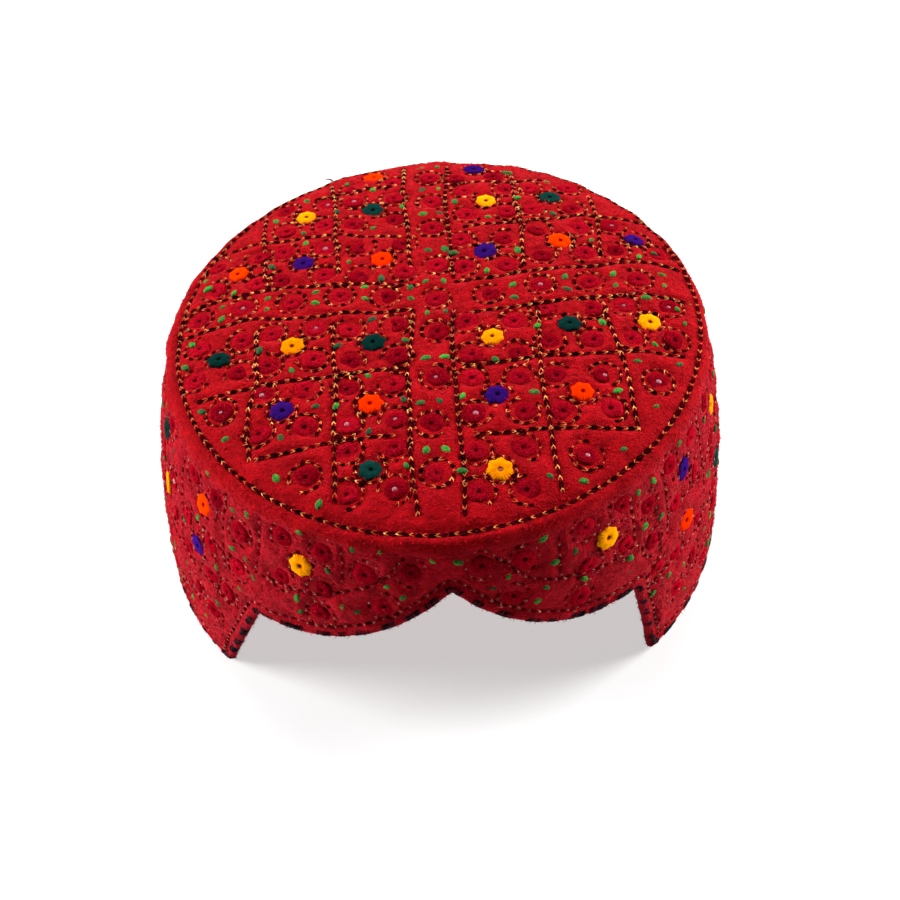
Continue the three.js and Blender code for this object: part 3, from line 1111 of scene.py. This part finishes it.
# %% The silks of the rosettes
# Each silk: its deep tone, its bright tone, the painted shade in the rosette's hole, and how mottled it is
SILKS = {
    "maroon": [(0.19, 0.001, 0.006), (0.37, 0.003, 0.012), (0.03, 0.0006, 0.002), 1.0],
    # The sunk maroon is painted lighter than the maroon: a painted sheen, like the stronger sheen of the
    # band's cloth round it
    "sunk_maroon": [(0.2, 0.0008, 0.006), (0.42, 0.002, 0.013), (0.03, 0.0006, 0.002), 1.0],
    "yellow": [(0.85, 0.2, 0.0), (1.0, 0.34, 0.002), (0.2, 0.01, 0.0), 0.45],
    "orange": [(0.9, 0.02, 0.0), (1.0, 0.05, 0.0), (0.3, 0.003, 0.0), 0.45],
    "purple": [(0.02, 0.003, 0.09), (0.038, 0.006, 0.155), (0.006, 0.001, 0.02), 0.45],
    "dark_green": [(0.002, 0.018, 0.016), (0.004, 0.038, 0.031), (0.001, 0.006, 0.004), 0.45],
}
BUTTONHOLE_STITCHES = 12
for colour, (deep, bright, hole, mottle) in SILKS.items():
    name = colour.replace("_", " ") + " silk"
    threads[colour] = thread_material(
        name, deep, bright, 0.8, 0.0, strands=BUTTONHOLE_STITCHES, slant=0.0, hole=hole, mottle=mottle)
print("thread materials:", list(threads))

# %% [markdown]
# ## One stitch of each kind
#
# The cap has thousands of stitches but only a few shapes. Each is a thin tube along a few points, a puffed
# ring or a small pad, with a map that says which way its thread runs. They stay very light, with a few dozen
# faces each, because they are repeated so often.

# %% Tubes and round forms
def set_thread_map(piece, corner_values):
    layer = piece.data.uv_layers.new(name="thread")
    layer.data.foreach_set("uv", np.asarray(corner_values, dtype=np.float32).ravel())


def tube_stitch(name, path, radii, sides=4, closed=False, up=(0, 0, 1), first_turn=0.5, mapped=True):
    """A tube along a path of (across, along, up) in mm."""
    path = np.asarray(path, dtype=float)
    count = len(path)
    points = []
    for i in range(count):
        before = path[i - 1] if i or closed else path[i]
        after = path[(i + 1) % count] if i + 1 < count or closed else path[i]
        forward = (after - before) / np.linalg.norm(after - before)
        sideways = np.cross(forward, up)
        sideways /= np.linalg.norm(sideways)
        upwards = np.cross(sideways, forward)
        for side in range(sides):
            around = 2 * math.pi * (side + first_turn) / sides
            points.append(path[i] + radii[i] * (sideways * math.cos(around) + upwards * math.sin(around)))
    faces = []
    corners = []
    for i in range(count if closed else count - 1):
        here, following = i * sides, (i + 1) % count * sides
        for side in range(sides):
            beside = (side + 1) % sides
            faces.append((here + side, following + side, following + beside, here + beside))
            corners += [(side / sides, i / count), (side / sides, (i + 1) / count),
                        ((side + 1) / sides, (i + 1) / count), ((side + 1) / sides, i / count)]
    if not closed:
        faces.append(tuple(range(sides)))
        faces.append(tuple((count - 1) * sides + side for side in reversed(range(sides))))
        corners += [(0.5, 0.0)] * (2 * sides)
    made = make_object(name, points, faces)
    set_thread_map(made, corners if mapped else np.zeros((len(corners), 2)))
    return made


def round_stitch(name, profile, sectors, lobes=0, lobe_depth=0.0, stretch=1.0):
    """A form turned round a middle. profile: (radius, height) from the middle outwards, in mm."""
    widest = profile[-1][0]
    points = [(0, 0, profile[0][1])]
    for radius, height in profile[1:]:
        for i in range(sectors):
            angle = 2 * math.pi * i / sectors
            reach = radius * (1 + lobe_depth * math.cos(lobes * angle) * (radius / widest) ** 3)
            points.append((reach * math.cos(angle) * stretch, reach * math.sin(angle), height))
    faces = []
    corners = []
    rings_made = len(profile) - 1
    for i in range(sectors):
        beside = (i + 1) % sectors
        turn, next_turn = i / sectors, (i + 1) / sectors
        faces.append((0, 1 + i, 1 + beside))
        share = profile[1][0] / widest
        corners += [(turn, 0), (turn, share), (next_turn, share)]
        for ring in range(rings_made - 1):
            inner, outer = 1 + ring * sectors, 1 + (ring + 1) * sectors
            faces.append((inner + i, outer + i, outer + beside, inner + beside))
            low, high = profile[ring + 1][0] / widest, profile[ring + 2][0] / widest
            corners += [(turn, low), (turn, high), (next_turn, high), (next_turn, low)]
    faces.append(tuple(1 + (rings_made - 1) * sectors + i for i in reversed(range(sectors))))
    corners += [(0.5, 1.0)] * sectors
    made = make_object(name, points, faces)
    set_thread_map(made, corners)
    return made


# %% The stitches
FLOWER_PROFILE = [(0, 0.0), (0.4, 0.02), (0.6, 0.3), (1.3, 0.42), (3.15, 0.42), (3.75, -0.25)]
MAROON_PROFILE = [(0, 0.12), (0.55, 0.13), (0.85, 0.25), (1.8, 0.34), (2.9, 0.22), (3.5, -0.3)]
FIBRE_ROOT = 0.08
FIBRE_TIP = (0.0, 1.15, 0.42)

gold_stitch = tube_stitch(
    "gold_stitch",
    [(-0.52, -0.95, -0.15), (-0.46, -0.1, 0.26), (0.0, 0.66, 0.32), (0.46, -0.1, 0.26), (0.52, -0.95, -0.15)],
    [0.07, 0.14, 0.19, 0.14, 0.07],
)
dark_stitch = tube_stitch(
    "dark_stitch",
    [(0.0, -1.3, -0.12), (0.4, -0.6, 0.06), (0.43, 0.35, 0.08), (0.0, 0.95, 0.04), (-0.43, 0.35, 0.08),
     (-0.4, -0.6, 0.06)],
    [0.26, 0.3, 0.3, 0.28, 0.3, 0.3],
    closed=True,
)
maroon_stitch = round_stitch("maroon_stitch", MAROON_PROFILE, 15, 5, 0.06)
colour_stitch = round_stitch("colour_stitch", FLOWER_PROFILE, 28, 7, 0.1)
knot_stitch = round_stitch("knot_stitch", [(0, 0.42), (0.5, 0.38), (0.85, 0.2), (1.0, -0.3)], 9, 4, 0.12, 1.5)
mirror_stitch = round_stitch("mirror_stitch", [(0, 0.2), (0.45, 0.16), (0.62, 0.0)], 8)

# A fibre of the nap is a spike of four faces that leans well over
nap_fibre = make_object(
    "nap_fibre",
    [(-FIBRE_ROOT, 0, 0), (FIBRE_ROOT, 0, 0), (0, 0.05, -2 * FIBRE_ROOT), FIBRE_TIP],
    [(0, 1, 3), (1, 2, 3), (2, 0, 3), (0, 2, 1)],
)
print("faces in one gold stitch:", len(gold_stitch.data.polygons))

# %% [markdown]
# ## Sewing with Geometry Nodes
#
# Chain stitch is one loop after another along a line, dark and gold in turn. That is what Geometry Nodes are
# good at: the line is cut to equal steps, and a loop is put on each, its top towards the cloth's outside and
# its point along the line. Two runs over the same line put dark loops on the even steps and gold ones on
# the odd steps. A seeded jitter makes them look sewn by hand.

# %% What every sewing tree does
SEEDS = {"swing": 11, "tilt": 17, "size": 23, "shade": 31}


def sewing_tree(name, extra=()):
    return new_group(name, "GeometryNodeTree", [
        ("Geometry", "Geometry", None),
        ("Stitch", "Object", None),
        *extra,
        ("Unevenness", "Float", 0.2),
        ("Size spread", "Float", 0.15),
        ("Tilt", "Float", 0.2),
        ("Seed", "Int", 0),
        ("Thread", "Material", None),
    ], [("Geometry", "Geometry")])


def named_attribute(tree, name, data_type="FLOAT"):
    node = add_node(tree, "GeometryNodeInputNamedAttribute", {"Name": name}, data_type=data_type)
    return pin(node.outputs, "Attribute")


def random_value(tree, low, high, seed):
    ends = {"Min": low, "Max": high, "Seed": seed}
    return pin(add_node(tree, "FunctionNodeRandomValue", ends, data_type="FLOAT").outputs, "Value")


def sew_on_points(tree, inputs, outputs, points, heading, selection=True):
    """Turns and sizes a stitch on each point, stores its shade, realizes it and sets its thread."""
    seeds = {use: calculate(tree, "ADD", inputs["Seed"], offset) for use, offset in SEEDS.items()}
    axes = add_node(tree, "FunctionNodeAxesToRotation", {
        "Primary Axis": named_attribute(tree, "cloth_normal", "FLOAT_VECTOR"), "Secondary Axis": heading,
    }, primary_axis="Z", secondary_axis="Y")
    swing = calculate(tree, "MULTIPLY", random_value(tree, -1, 1, seeds["swing"]), inputs["Unevenness"])
    tilt = calculate(tree, "MULTIPLY", random_value(tree, -1, 1, seeds["tilt"]), inputs["Tilt"])
    size = calculate(tree, "MULTIPLY_ADD", random_value(tree, -1, 1, seeds["size"]), inputs["Size spread"],
                     named_attribute(tree, "own_size"))
    turned = add_node(tree, "ShaderNodeCombineXYZ", {"X": tilt, "Z": swing})
    as_rotation = add_node(tree, "FunctionNodeEulerToRotation", {"Euler": turned.outputs["Vector"]})
    rotate = add_node(tree, "FunctionNodeRotateRotation", {
        "Rotation": axes.outputs["Rotation"], "Rotate By": as_rotation.outputs["Rotation"],
    }, rotation_space="LOCAL")
    stitch = add_node(tree, "GeometryNodeObjectInfo", {"Object": inputs["Stitch"]})
    instances = add_node(tree, "GeometryNodeInstanceOnPoints", {
        "Points": points,
        "Selection": selection,
        "Instance": stitch.outputs["Geometry"],
        "Rotation": rotate.outputs["Rotation"],
        "Scale": size,
    })
    store = add_node(tree, "GeometryNodeStoreNamedAttribute", data_type="FLOAT", domain="INSTANCE")
    feed(tree, store.inputs["Name"], "shade")
    feed(tree, pin(store.inputs, "Geometry"), instances.outputs["Instances"])
    feed(tree, pin(store.inputs, "Value"), random_value(tree, 0, 1, seeds["shade"]))
    realize = add_node(tree, "GeometryNodeRealizeInstances", {"Geometry": store.outputs["Geometry"]})
    finish = add_node(tree, "GeometryNodeSetMaterial", {
        "Geometry": realize.outputs["Geometry"], "Material": inputs["Thread"],
    })
    feed(tree, outputs["Geometry"], finish.outputs["Geometry"])


# %% The trees for chain stitch and for single stitches
chain_tree, chain_in, chain_out = sewing_tree(
    "Chain stitch", [("Pitch", "Float", 0.0016), ("Turn taken", "Int", 0)])
line_curve = add_node(chain_tree, "GeometryNodeMeshToCurve", {"Mesh": chain_in["Geometry"]})
cut_curve = add_node(chain_tree, "GeometryNodeResampleCurve", {
    "Curve": line_curve.outputs["Curve"], "Length": chain_in["Pitch"],
}, mode="LENGTH")
index = add_node(chain_tree, "GeometryNodeInputIndex").outputs["Index"]
in_turn = calculate(chain_tree, "MODULO", index, 2)
is_turn = calculate(chain_tree, "COMPARE", in_turn, chain_in["Turn taken"], 0.5)
tangent = add_node(chain_tree, "GeometryNodeInputTangent").outputs["Tangent"]
sew_on_points(chain_tree, chain_in, chain_out, cut_curve.outputs["Curve"], tangent, is_turn)

single_tree, single_in, single_out = sewing_tree("Single stitches")
heading = named_attribute(single_tree, "heading", "FLOAT_VECTOR")
sew_on_points(single_tree, single_in, single_out, single_in["Geometry"], heading)
print("trees:", chain_tree.name, len(chain_tree.nodes), "nodes;", single_tree.name, len(single_tree.nodes))

# %% Running a tree
def guide_object(name, points, edges, attributes):
    mesh = bpy.data.meshes.new(name)
    mesh.from_pydata((np.asarray(points) * MM).tolist(), edges, [])
    for key, values in attributes.items():
        values = np.asarray(values, dtype=np.float32)
        if values.ndim == 2:
            mesh.attributes.new(key, "FLOAT_VECTOR", "POINT").data.foreach_set("vector", values.ravel())
        else:
            mesh.attributes.new(key, "FLOAT", "POINT").data.foreach_set("value", values)
    made = bpy.data.objects.new(name, mesh)
    bpy.context.scene.collection.objects.link(made)
    return made


def sew(name, guide, tree, settings):
    """Runs the tree on a copy of the guide, and gives a plain mesh object."""
    worker = guide.copy()
    bpy.context.scene.collection.objects.link(worker)
    modifier = worker.modifiers.new("sewing", "NODES")
    modifier.node_group = tree
    for item in tree.interface.items_tree:
        if item.in_out == "INPUT" and item.name in settings:
            modifier[item.identifier] = settings[item.name]
    graph = bpy.context.evaluated_depsgraph_get()
    mesh = bpy.data.meshes.new_from_object(
        worker.evaluated_get(graph), preserve_all_data_layers=True, depsgraph=graph
    )
    mesh.name = name
    bpy.data.objects.remove(worker)
    made = bpy.data.objects.new(name, mesh)
    bpy.context.scene.collection.objects.link(made)
    return made


# %% [markdown]
# ## The chain stitch
#
# The straight lines and the little rings are sewn separately, because a ring is worked with shorter
# stitches so that it goes round its rosette smoothly.

# %% Guides for the chain stitch
CHAIN_LIFT = 0.12
SURFACES = {"crown": crown_surface, "band": band_surface}


def chain_guide(name, runs):
    """runs: (where, points in its plan, closed)."""
    points = []
    normals = []
    edges = []
    start = 0
    for where, plan, closed in runs:
        placed, normal = on_cloth(SURFACES[where], plan, np.full(len(plan), CHAIN_LIFT - PULL))
        edges += [(start + i, start + i + 1) for i in range(len(plan) - 1)]
        if closed:
            edges.append((start + len(plan) - 1, start))
        points.append(placed)
        normals.append(normal)
        start += len(plan)
    attributes = {"cloth_normal": np.concatenate(normals), "own_size": np.ones(start)}
    return guide_object(name, np.concatenate(points), edges, attributes)


guides = {}
for where in ("crown", "band"):
    open_runs = [(where, plan, False) for plan in lines[where]]
    closed_runs = [(where, plan, True) for plan in closed_lines[where]]
    ring_runs = [(where, plan, False) for plan in ring_lines[where]]
    guides[where, "lines"] = chain_guide(where + "_line_guide", open_runs + closed_runs)
    guides[where, "rings"] = chain_guide(where + "_ring_guide", ring_runs)

# %% Sewing the chain stitch
CHAINS = {
    ("crown", "lines"): {"pitch": 1.72, "dark_size": 1.0, "gold_size": 1.0},
    ("crown", "rings"): {"pitch": 1.42, "dark_size": 0.68, "gold_size": 0.78},
    ("band", "lines"): {"pitch": 1.55, "dark_size": 0.6, "gold_size": 0.64},
    ("band", "rings"): {"pitch": 1.4, "dark_size": 0.42, "gold_size": 0.53},
}
CHAIN_JITTER = {
    "lines": {"Unevenness": 0.2, "Size spread": 0.16},
    "rings": {"Unevenness": 0.8, "Size spread": 0.28},
}
SHAPES = {"dark": dark_stitch, "gold": gold_stitch}
DIMMED = {"crown": "", "band": "dim_"}
for number, ((where, kind), chain) in enumerate(CHAINS.items()):
    guide = guides[where, kind]
    for turn, colour in enumerate(("dark", "gold")):
        sizes = np.full(len(guide.data.vertices), chain[colour + "_size"], dtype=np.float32)
        guide.data.attributes["own_size"].data.foreach_set("value", sizes)
        sewn = sew("_".join([where, colour, "chain", kind]), guide, chain_tree, {
            "Stitch": SHAPES[colour],
            "Pitch": chain["pitch"] * MM,
            "Turn taken": turn,
            "Seed": 100 * number + 50 * turn,
            "Thread": threads[DIMMED[where] + colour],
            **CHAIN_JITTER[kind],
        })
        finish_piece(sewn, colour + "_thread")

# %% [markdown]
# ## Rosettes and knots
#
# A rosette is a ring of buttonhole stitch round a hole, and a knot is a little pad of satin stitch. They are
# single shapes on single points, each turned by a random angle. On the band they sit deeper in the nap.

# %% Sewing the rosettes and knots
FLOWER_LIFT = 0.04 - PULL
KNOT_LIFT = 0.05
SUNK = 0.08


def point_guide(name, places, out, size):
    """places: {"crown": plan points, "band": plan points}."""
    points = []
    normals = []
    for where, plan in places.items():
        placed, normal = on_cloth(SURFACES[where], plan, np.full(len(plan), out))
        points.append(placed)
        normals.append(normal)
    points = np.concatenate(points)
    normals = np.concatenate(normals)
    spin = rng.normal(size=points.shape)
    return guide_object(name, points, [], {
        "cloth_normal": normals,
        "heading": unit(np.cross(normals, spin)),
        "own_size": np.full(len(points), size),
    })


def sew_points(name, places, shape, thread, slot, out, size, size_spread, seed):
    guide = point_guide(name + "_guide", places, out, size)
    sewn = sew(name, guide, single_tree, {
        "Stitch": shape,
        "Unevenness": 0.4,
        "Size spread": size_spread,
        "Seed": seed,
        "Thread": thread,
    })
    bpy.data.objects.remove(guide)
    finish_piece(sewn, slot)
    return sewn


maroon_piece = sew_points(
    "maroon_rosettes", {"crown": maroon["crown"]}, maroon_stitch, threads["maroon"], "maroon_thread",
    out=FLOWER_LIFT - 0.04, size=1.0, size_spread=0.09, seed=1)
sunk_piece = sew_points(
    "sunk_maroon_rosettes", {"band": maroon["band"]}, maroon_stitch, threads["sunk_maroon"], "maroon_thread",
    out=FLOWER_LIFT - SUNK, size=0.95, size_spread=0.09, seed=2)
for number, (colour, places) in enumerate(flowers.items()):
    sew_points(
        colour + "_rosettes", places, colour_stitch, threads[colour], colour + "_thread",
        out=FLOWER_LIFT + 0.08, size=0.96, size_spread=0.05, seed=40 + number)
sew_points(
    "green_knots", {"crown": knots["crown"]}, knot_stitch, threads["green"], "green_thread",
    out=KNOT_LIFT, size=1.02, size_spread=0.24, seed=60)
sew_points(
    "small_green_knots", {"band": knots["band"]}, knot_stitch, threads["green"], "green_thread",
    out=KNOT_LIFT - SUNK, size=0.95, size_spread=0.24, seed=61)

# %% [markdown]
# ## The nap
#
# Brushed cotton and worn silk are fuzzy: short fibres stand off them and soften every edge. A picture of
# fuzz would look flat at the rim of the cap, so the fibres are thousands of real spikes, strewn over the
# outside of the cloth and of the maroon rosettes. None stand under a rosette, in its hole or near the ground.

# %% The tree that raises the nap
nap_tree, nap_from, nap_to = sewing_tree("Standing fibres", [("Density", "Float", 800000.0)])
scatter = add_node(nap_tree, "GeometryNodeDistributePointsOnFaces", distribute_method="RANDOM")
feed(nap_tree, pin(scatter.inputs, "Mesh"), nap_from["Geometry"])
feed(nap_tree, pin(scatter.inputs, "Selection"), named_attribute(nap_tree, "napped"))
feed(nap_tree, pin(scatter.inputs, "Density"), nap_from["Density"])
feed(nap_tree, pin(scatter.inputs, "Seed"), nap_from["Seed"])
fibre_roots = scatter.outputs["Points"]
for name, data_type, value in (
    ("cloth_normal", "FLOAT_VECTOR", scatter.outputs["Normal"]),
    ("own_size", "FLOAT", 1.0),
):
    store = add_node(nap_tree, "GeometryNodeStoreNamedAttribute", data_type=data_type, domain="POINT")
    feed(nap_tree, store.inputs["Name"], name)
    feed(nap_tree, pin(store.inputs, "Value"), value)
    feed(nap_tree, pin(store.inputs, "Geometry"), fibre_roots)
    fibre_roots = store.outputs["Geometry"]
any_way = add_node(nap_tree, "FunctionNodeRandomValue", data_type="FLOAT_VECTOR")
feed(nap_tree, pin(any_way.inputs, "Min"), (-1, -1, -1))
feed(nap_tree, pin(any_way.inputs, "Max"), (1, 1, 1))
sew_on_points(nap_tree, nap_from, nap_to, fibre_roots, pin(any_way.outputs, "Value"))

# %% Raising the nap
LOWEST_NAP = 1.6 * MM
UNDER_FLOWER = 3.3 * MM
IN_HOLE = 1.1 * MM
INSIDE_KIND = 1

middles = []
for where, plan in flower_middles.items():
    middles += (on_cloth(SURFACES[where], plan, np.zeros(len(plan)))[0] * MM).tolist()
middle_tree = tree_of(middles)


def napped_cloth(cloth, kinds):
    """Whether each face is on the cloth's outside, above the ground, and out from under a rosette."""
    return [
        kind != INSIDE_KIND and face.center.z > LOWEST_NAP
        and middle_tree.find(face.center)[2] > UNDER_FLOWER
        for kind, face in zip(kinds, cloth.data.polygons)
    ]


def napped_silk(rosettes):
    return [middle_tree.find(face.center)[2] > IN_HOLE for face in rosettes.data.polygons]


# What is napped: its faces, the fibres' name, how many stand on a square mm, and their slot
NAPPED = [
    (crown_cloth, napped_cloth(crown_cloth, crown_kinds), "crown_nap", 0.95, "crown_cloth"),
    (band_cloth, napped_cloth(band_cloth, band_kinds), "band_nap", 0.85, "band_cloth"),
    (edge_roll, napped_cloth(edge_roll, [0] * len(roll_faces)), "roll_nap", 0.8, "binding_cloth"),
    (maroon_piece, napped_silk(maroon_piece), "maroon_nap", 0.28, "maroon_thread"),
    (sunk_piece, napped_silk(sunk_piece), "sunk_maroon_nap", 0.5, "band_cloth"),
]
for number, (cloth, faces, name, per_square_mm, slot) in enumerate(NAPPED):
    napped = cloth.data.attributes.new("napped", "FLOAT", "FACE")
    napped.data.foreach_set("value", np.array(faces, dtype=np.float32))
    raised = sew(name, cloth, nap_tree, {
        "Stitch": nap_fibre,
        "Density": per_square_mm / MM ** 2,
        "Unevenness": 3.0,
        "Size spread": 0.4,
        "Tilt": 0.25,
        "Seed": 700 + number,
        "Thread": threads[name],
    })
    cloth.data.attributes.remove(cloth.data.attributes["napped"])
    finish_piece(raised, slot)

# %% [markdown]
# ## Mirrors and a loose end
#
# A few of the maroon rosettes hold a tiny round mirror in their hole. It is old and dull, and its colour is a
# painted reflection, mottled dark red to pink, of the red round it, which it shows more than the sky. One end
# of dark thread has come loose at the back of the crown.

# %% The mirrors
MIRROR_SHARE = 0.11
CHARTED_MIRRORS = [(16, -63), (63, -33)]

mirror_material, tree = start_material("tiny mirror")
place = add_node(tree, "ShaderNodeTexCoord").outputs["Object"]
tarnish_and_painted_reflection = add_node(tree, "ShaderNodeTexNoise", {"Vector": place, "Scale": 900.0}).outputs[0]
# Painted reflection: the colour is the red of the cloth round the mirror, mottled from dark red to pink where
# it is dull
finish_material(tree, {
    "Base Color": mix_colours(tree, (0.14, 0.012, 0.02), (0.4, 0.14, 0.18), tarnish_and_painted_reflection),
    "Metallic": 0.6,
    "Roughness": 0.5,
})
mirror_places = {
    where: [place for place in places if rng.uniform() < MIRROR_SHARE] for where, places in maroon.items()
}
mirror_places["crown"] += CHARTED_MIRRORS
sew_points(
    "mirrors", mirror_places, mirror_stitch, mirror_material, "small_mirror",
    out=FLOWER_LIFT + 0.04, size=1.3, size_spread=0.3, seed=80)

# %% The loose thread end
LOOSE_END = (-32.0, 76.2)
LOOSE_PATH = [(0.3, -0.6, -0.3), (-0.3, 0.0, 0.3), (-1.1, 0.3, 0.6), (-2.1, 0.4, 0.7), (-3.0, 0.2, 1.0)]

loose_start = on_cloth(crown_surface, [LOOSE_END], [0.1])[0][0]
loose_end = tube_stitch("loose_thread_end", loose_start + LOOSE_PATH, [0.2, 0.3, 0.3, 0.24, 0.1], sides=6)
loose_end.data.materials.append(threads["dark"])
finish_piece(loose_end, "dark_thread")

# %% [markdown]
# ## Slate thread over the edge
#
# The rolled edge is sewn over with slate thread, a few turns here and a few there. The line along the roll is
# cut to short runs of uneven length, and Geometry Nodes put an open hoop at every step of each run.

# %% Oversewing
HOOP_PITCH = 0.22
HOOP_THREAD = 0.26
HOOP_LEAN = 0.3
RUN = {"shortest": 1.6, "longest": 6.5}
GAP = {"shortest": 2.0, "longest": 6.5}

# One hoop, seen along the roll: from the band's outside, round the roll, to the inside. out and into, in mm
HOOP_PATH = [
    (1.2, 1.0), (1.46, 0.4), (1.36, -0.5), (0.7, -1.05),
    (-0.3, -1.12), (-1.1, -0.7), (-1.4, 0.3), (-1.2, 1.6),
]
hoop = tube_stitch(
    "hoop", [(out, HOOP_LEAN * into, into) for out, into in HOOP_PATH], [HOOP_THREAD] * len(HOOP_PATH),
    sides=3, up=(0, 1, 0), first_turn=0, mapped=False)

run_edges = []
at = 0.0
while at < roll_along[-1]:
    run_end = at + rng.uniform(RUN["shortest"], RUN["longest"])
    run_edges += [(i, i + 1) for i in range(len(roll_along) - 1) if at <= roll_along[i] < run_end]
    at = run_end + rng.uniform(GAP["shortest"], GAP["longest"])
roll_guide = guide_object(
    "roll_guide", roll_centre, run_edges, {"cloth_normal": roll_into, "own_size": np.ones(len(roll_centre))}
)
oversewing = sew("slate_oversewing", roll_guide, chain_tree, {
    "Stitch": hoop,
    "Pitch": HOOP_PITCH * MM,
    "Turn taken": 0,
    "Unevenness": 0.14,
    "Size spread": 0.05,
    "Tilt": 0.03,
    "Seed": 500,
    "Thread": threads["slate"],
})
finish_piece(oversewing, "slate_thread")

# %% Clearing the guides and the single shapes away
single_shapes = [
    gold_stitch, dark_stitch, maroon_stitch, colour_stitch, knot_stitch, mirror_stitch, nap_fibre, hoop,
]
for helper in (*guides.values(), roll_guide, *single_shapes):
    bpy.data.objects.remove(helper)

# %% [markdown]
# ## Floor and light
#
# The photo was taken on glowing white, as on a light box, with its lamps behind and beside the cap, so the
# forehead is darker than the sides. A pale floor that glows a little keeps the shadow inside the cap soft.
# The sky is white to the camera alone and lights the cap only faintly. The floor is small, so that it doesn't
# light the band from far off.

# %% Floor
FLOOR = 900
floor_material, tree = start_material("pale floor")
finish_material(tree, {
    "Base Color": (0.5, 0.5, 0.5),
    "Roughness": 0.9,
    "Emission Color": (1.0, 1.0, 1.0),
    "Emission Strength": 0.56,
})
floor = make_object(
    "floor",
    [(-FLOOR, -FLOOR, 0), (FLOOR, -FLOOR, 0), (FLOOR, FLOOR, 0), (-FLOOR, FLOOR, 0)],
    [(0, 1, 2, 3)],
    [floor_material],
)

# %% Sky
world = bpy.data.worlds.new("white sky")
world.use_nodes = True
sky = world.node_tree
direction = add_node(sky, "ShaderNodeTexCoord").outputs["Generated"]
to_back = add_node(sky, "ShaderNodeSeparateXYZ", {"Vector": direction}).outputs["Y"]
seen = add_node(sky, "ShaderNodeLightPath").outputs["Is Camera Ray"]
strength = add_node(sky, "ShaderNodeMix", {
    "Factor": seen, "A": remap(sky, to_back, -0.6, 0.8, 0.02, 0.12), "B": 1.0,
}, data_type="FLOAT")
feed(sky, sky.nodes["Background"].inputs["Color"], (1.0, 1.0, 1.0))
feed(sky, sky.nodes["Background"].inputs["Strength"], pin(strength.outputs, "Result"))
bpy.context.scene.world = world

# %% Lamps
# Each lamp: where it stands and its size in metres, and its power in watts
LAMPS = {
    "back_lamp": {"place": (-0.05, 1.0, 1.35), "size": 1.3, "power": 33.0},
    "left_lamp": {"place": (-1.36, 0.25, 0.45), "size": 0.7, "power": 48.0},
    "right_lamp": {"place": (1.27, 0.45, 0.45), "size": 0.7, "power": 46.0},
}
for name, lamp in LAMPS.items():
    data = bpy.data.lights.new(name, "AREA")
    data.shape = "DISK"
    data.size = lamp["size"]
    data.energy = lamp["power"]
    light = bpy.data.objects.new(name, data)
    light.location = lamp["place"]
    light.rotation_euler = (LOOK_AT - Vector(lamp["place"])).to_track_quat("-Z", "Y").to_euler()
    bpy.context.scene.collection.objects.link(light)
bpy.context.scene.view_settings.view_transform = "Standard"
print("lamps:", list(LAMPS))
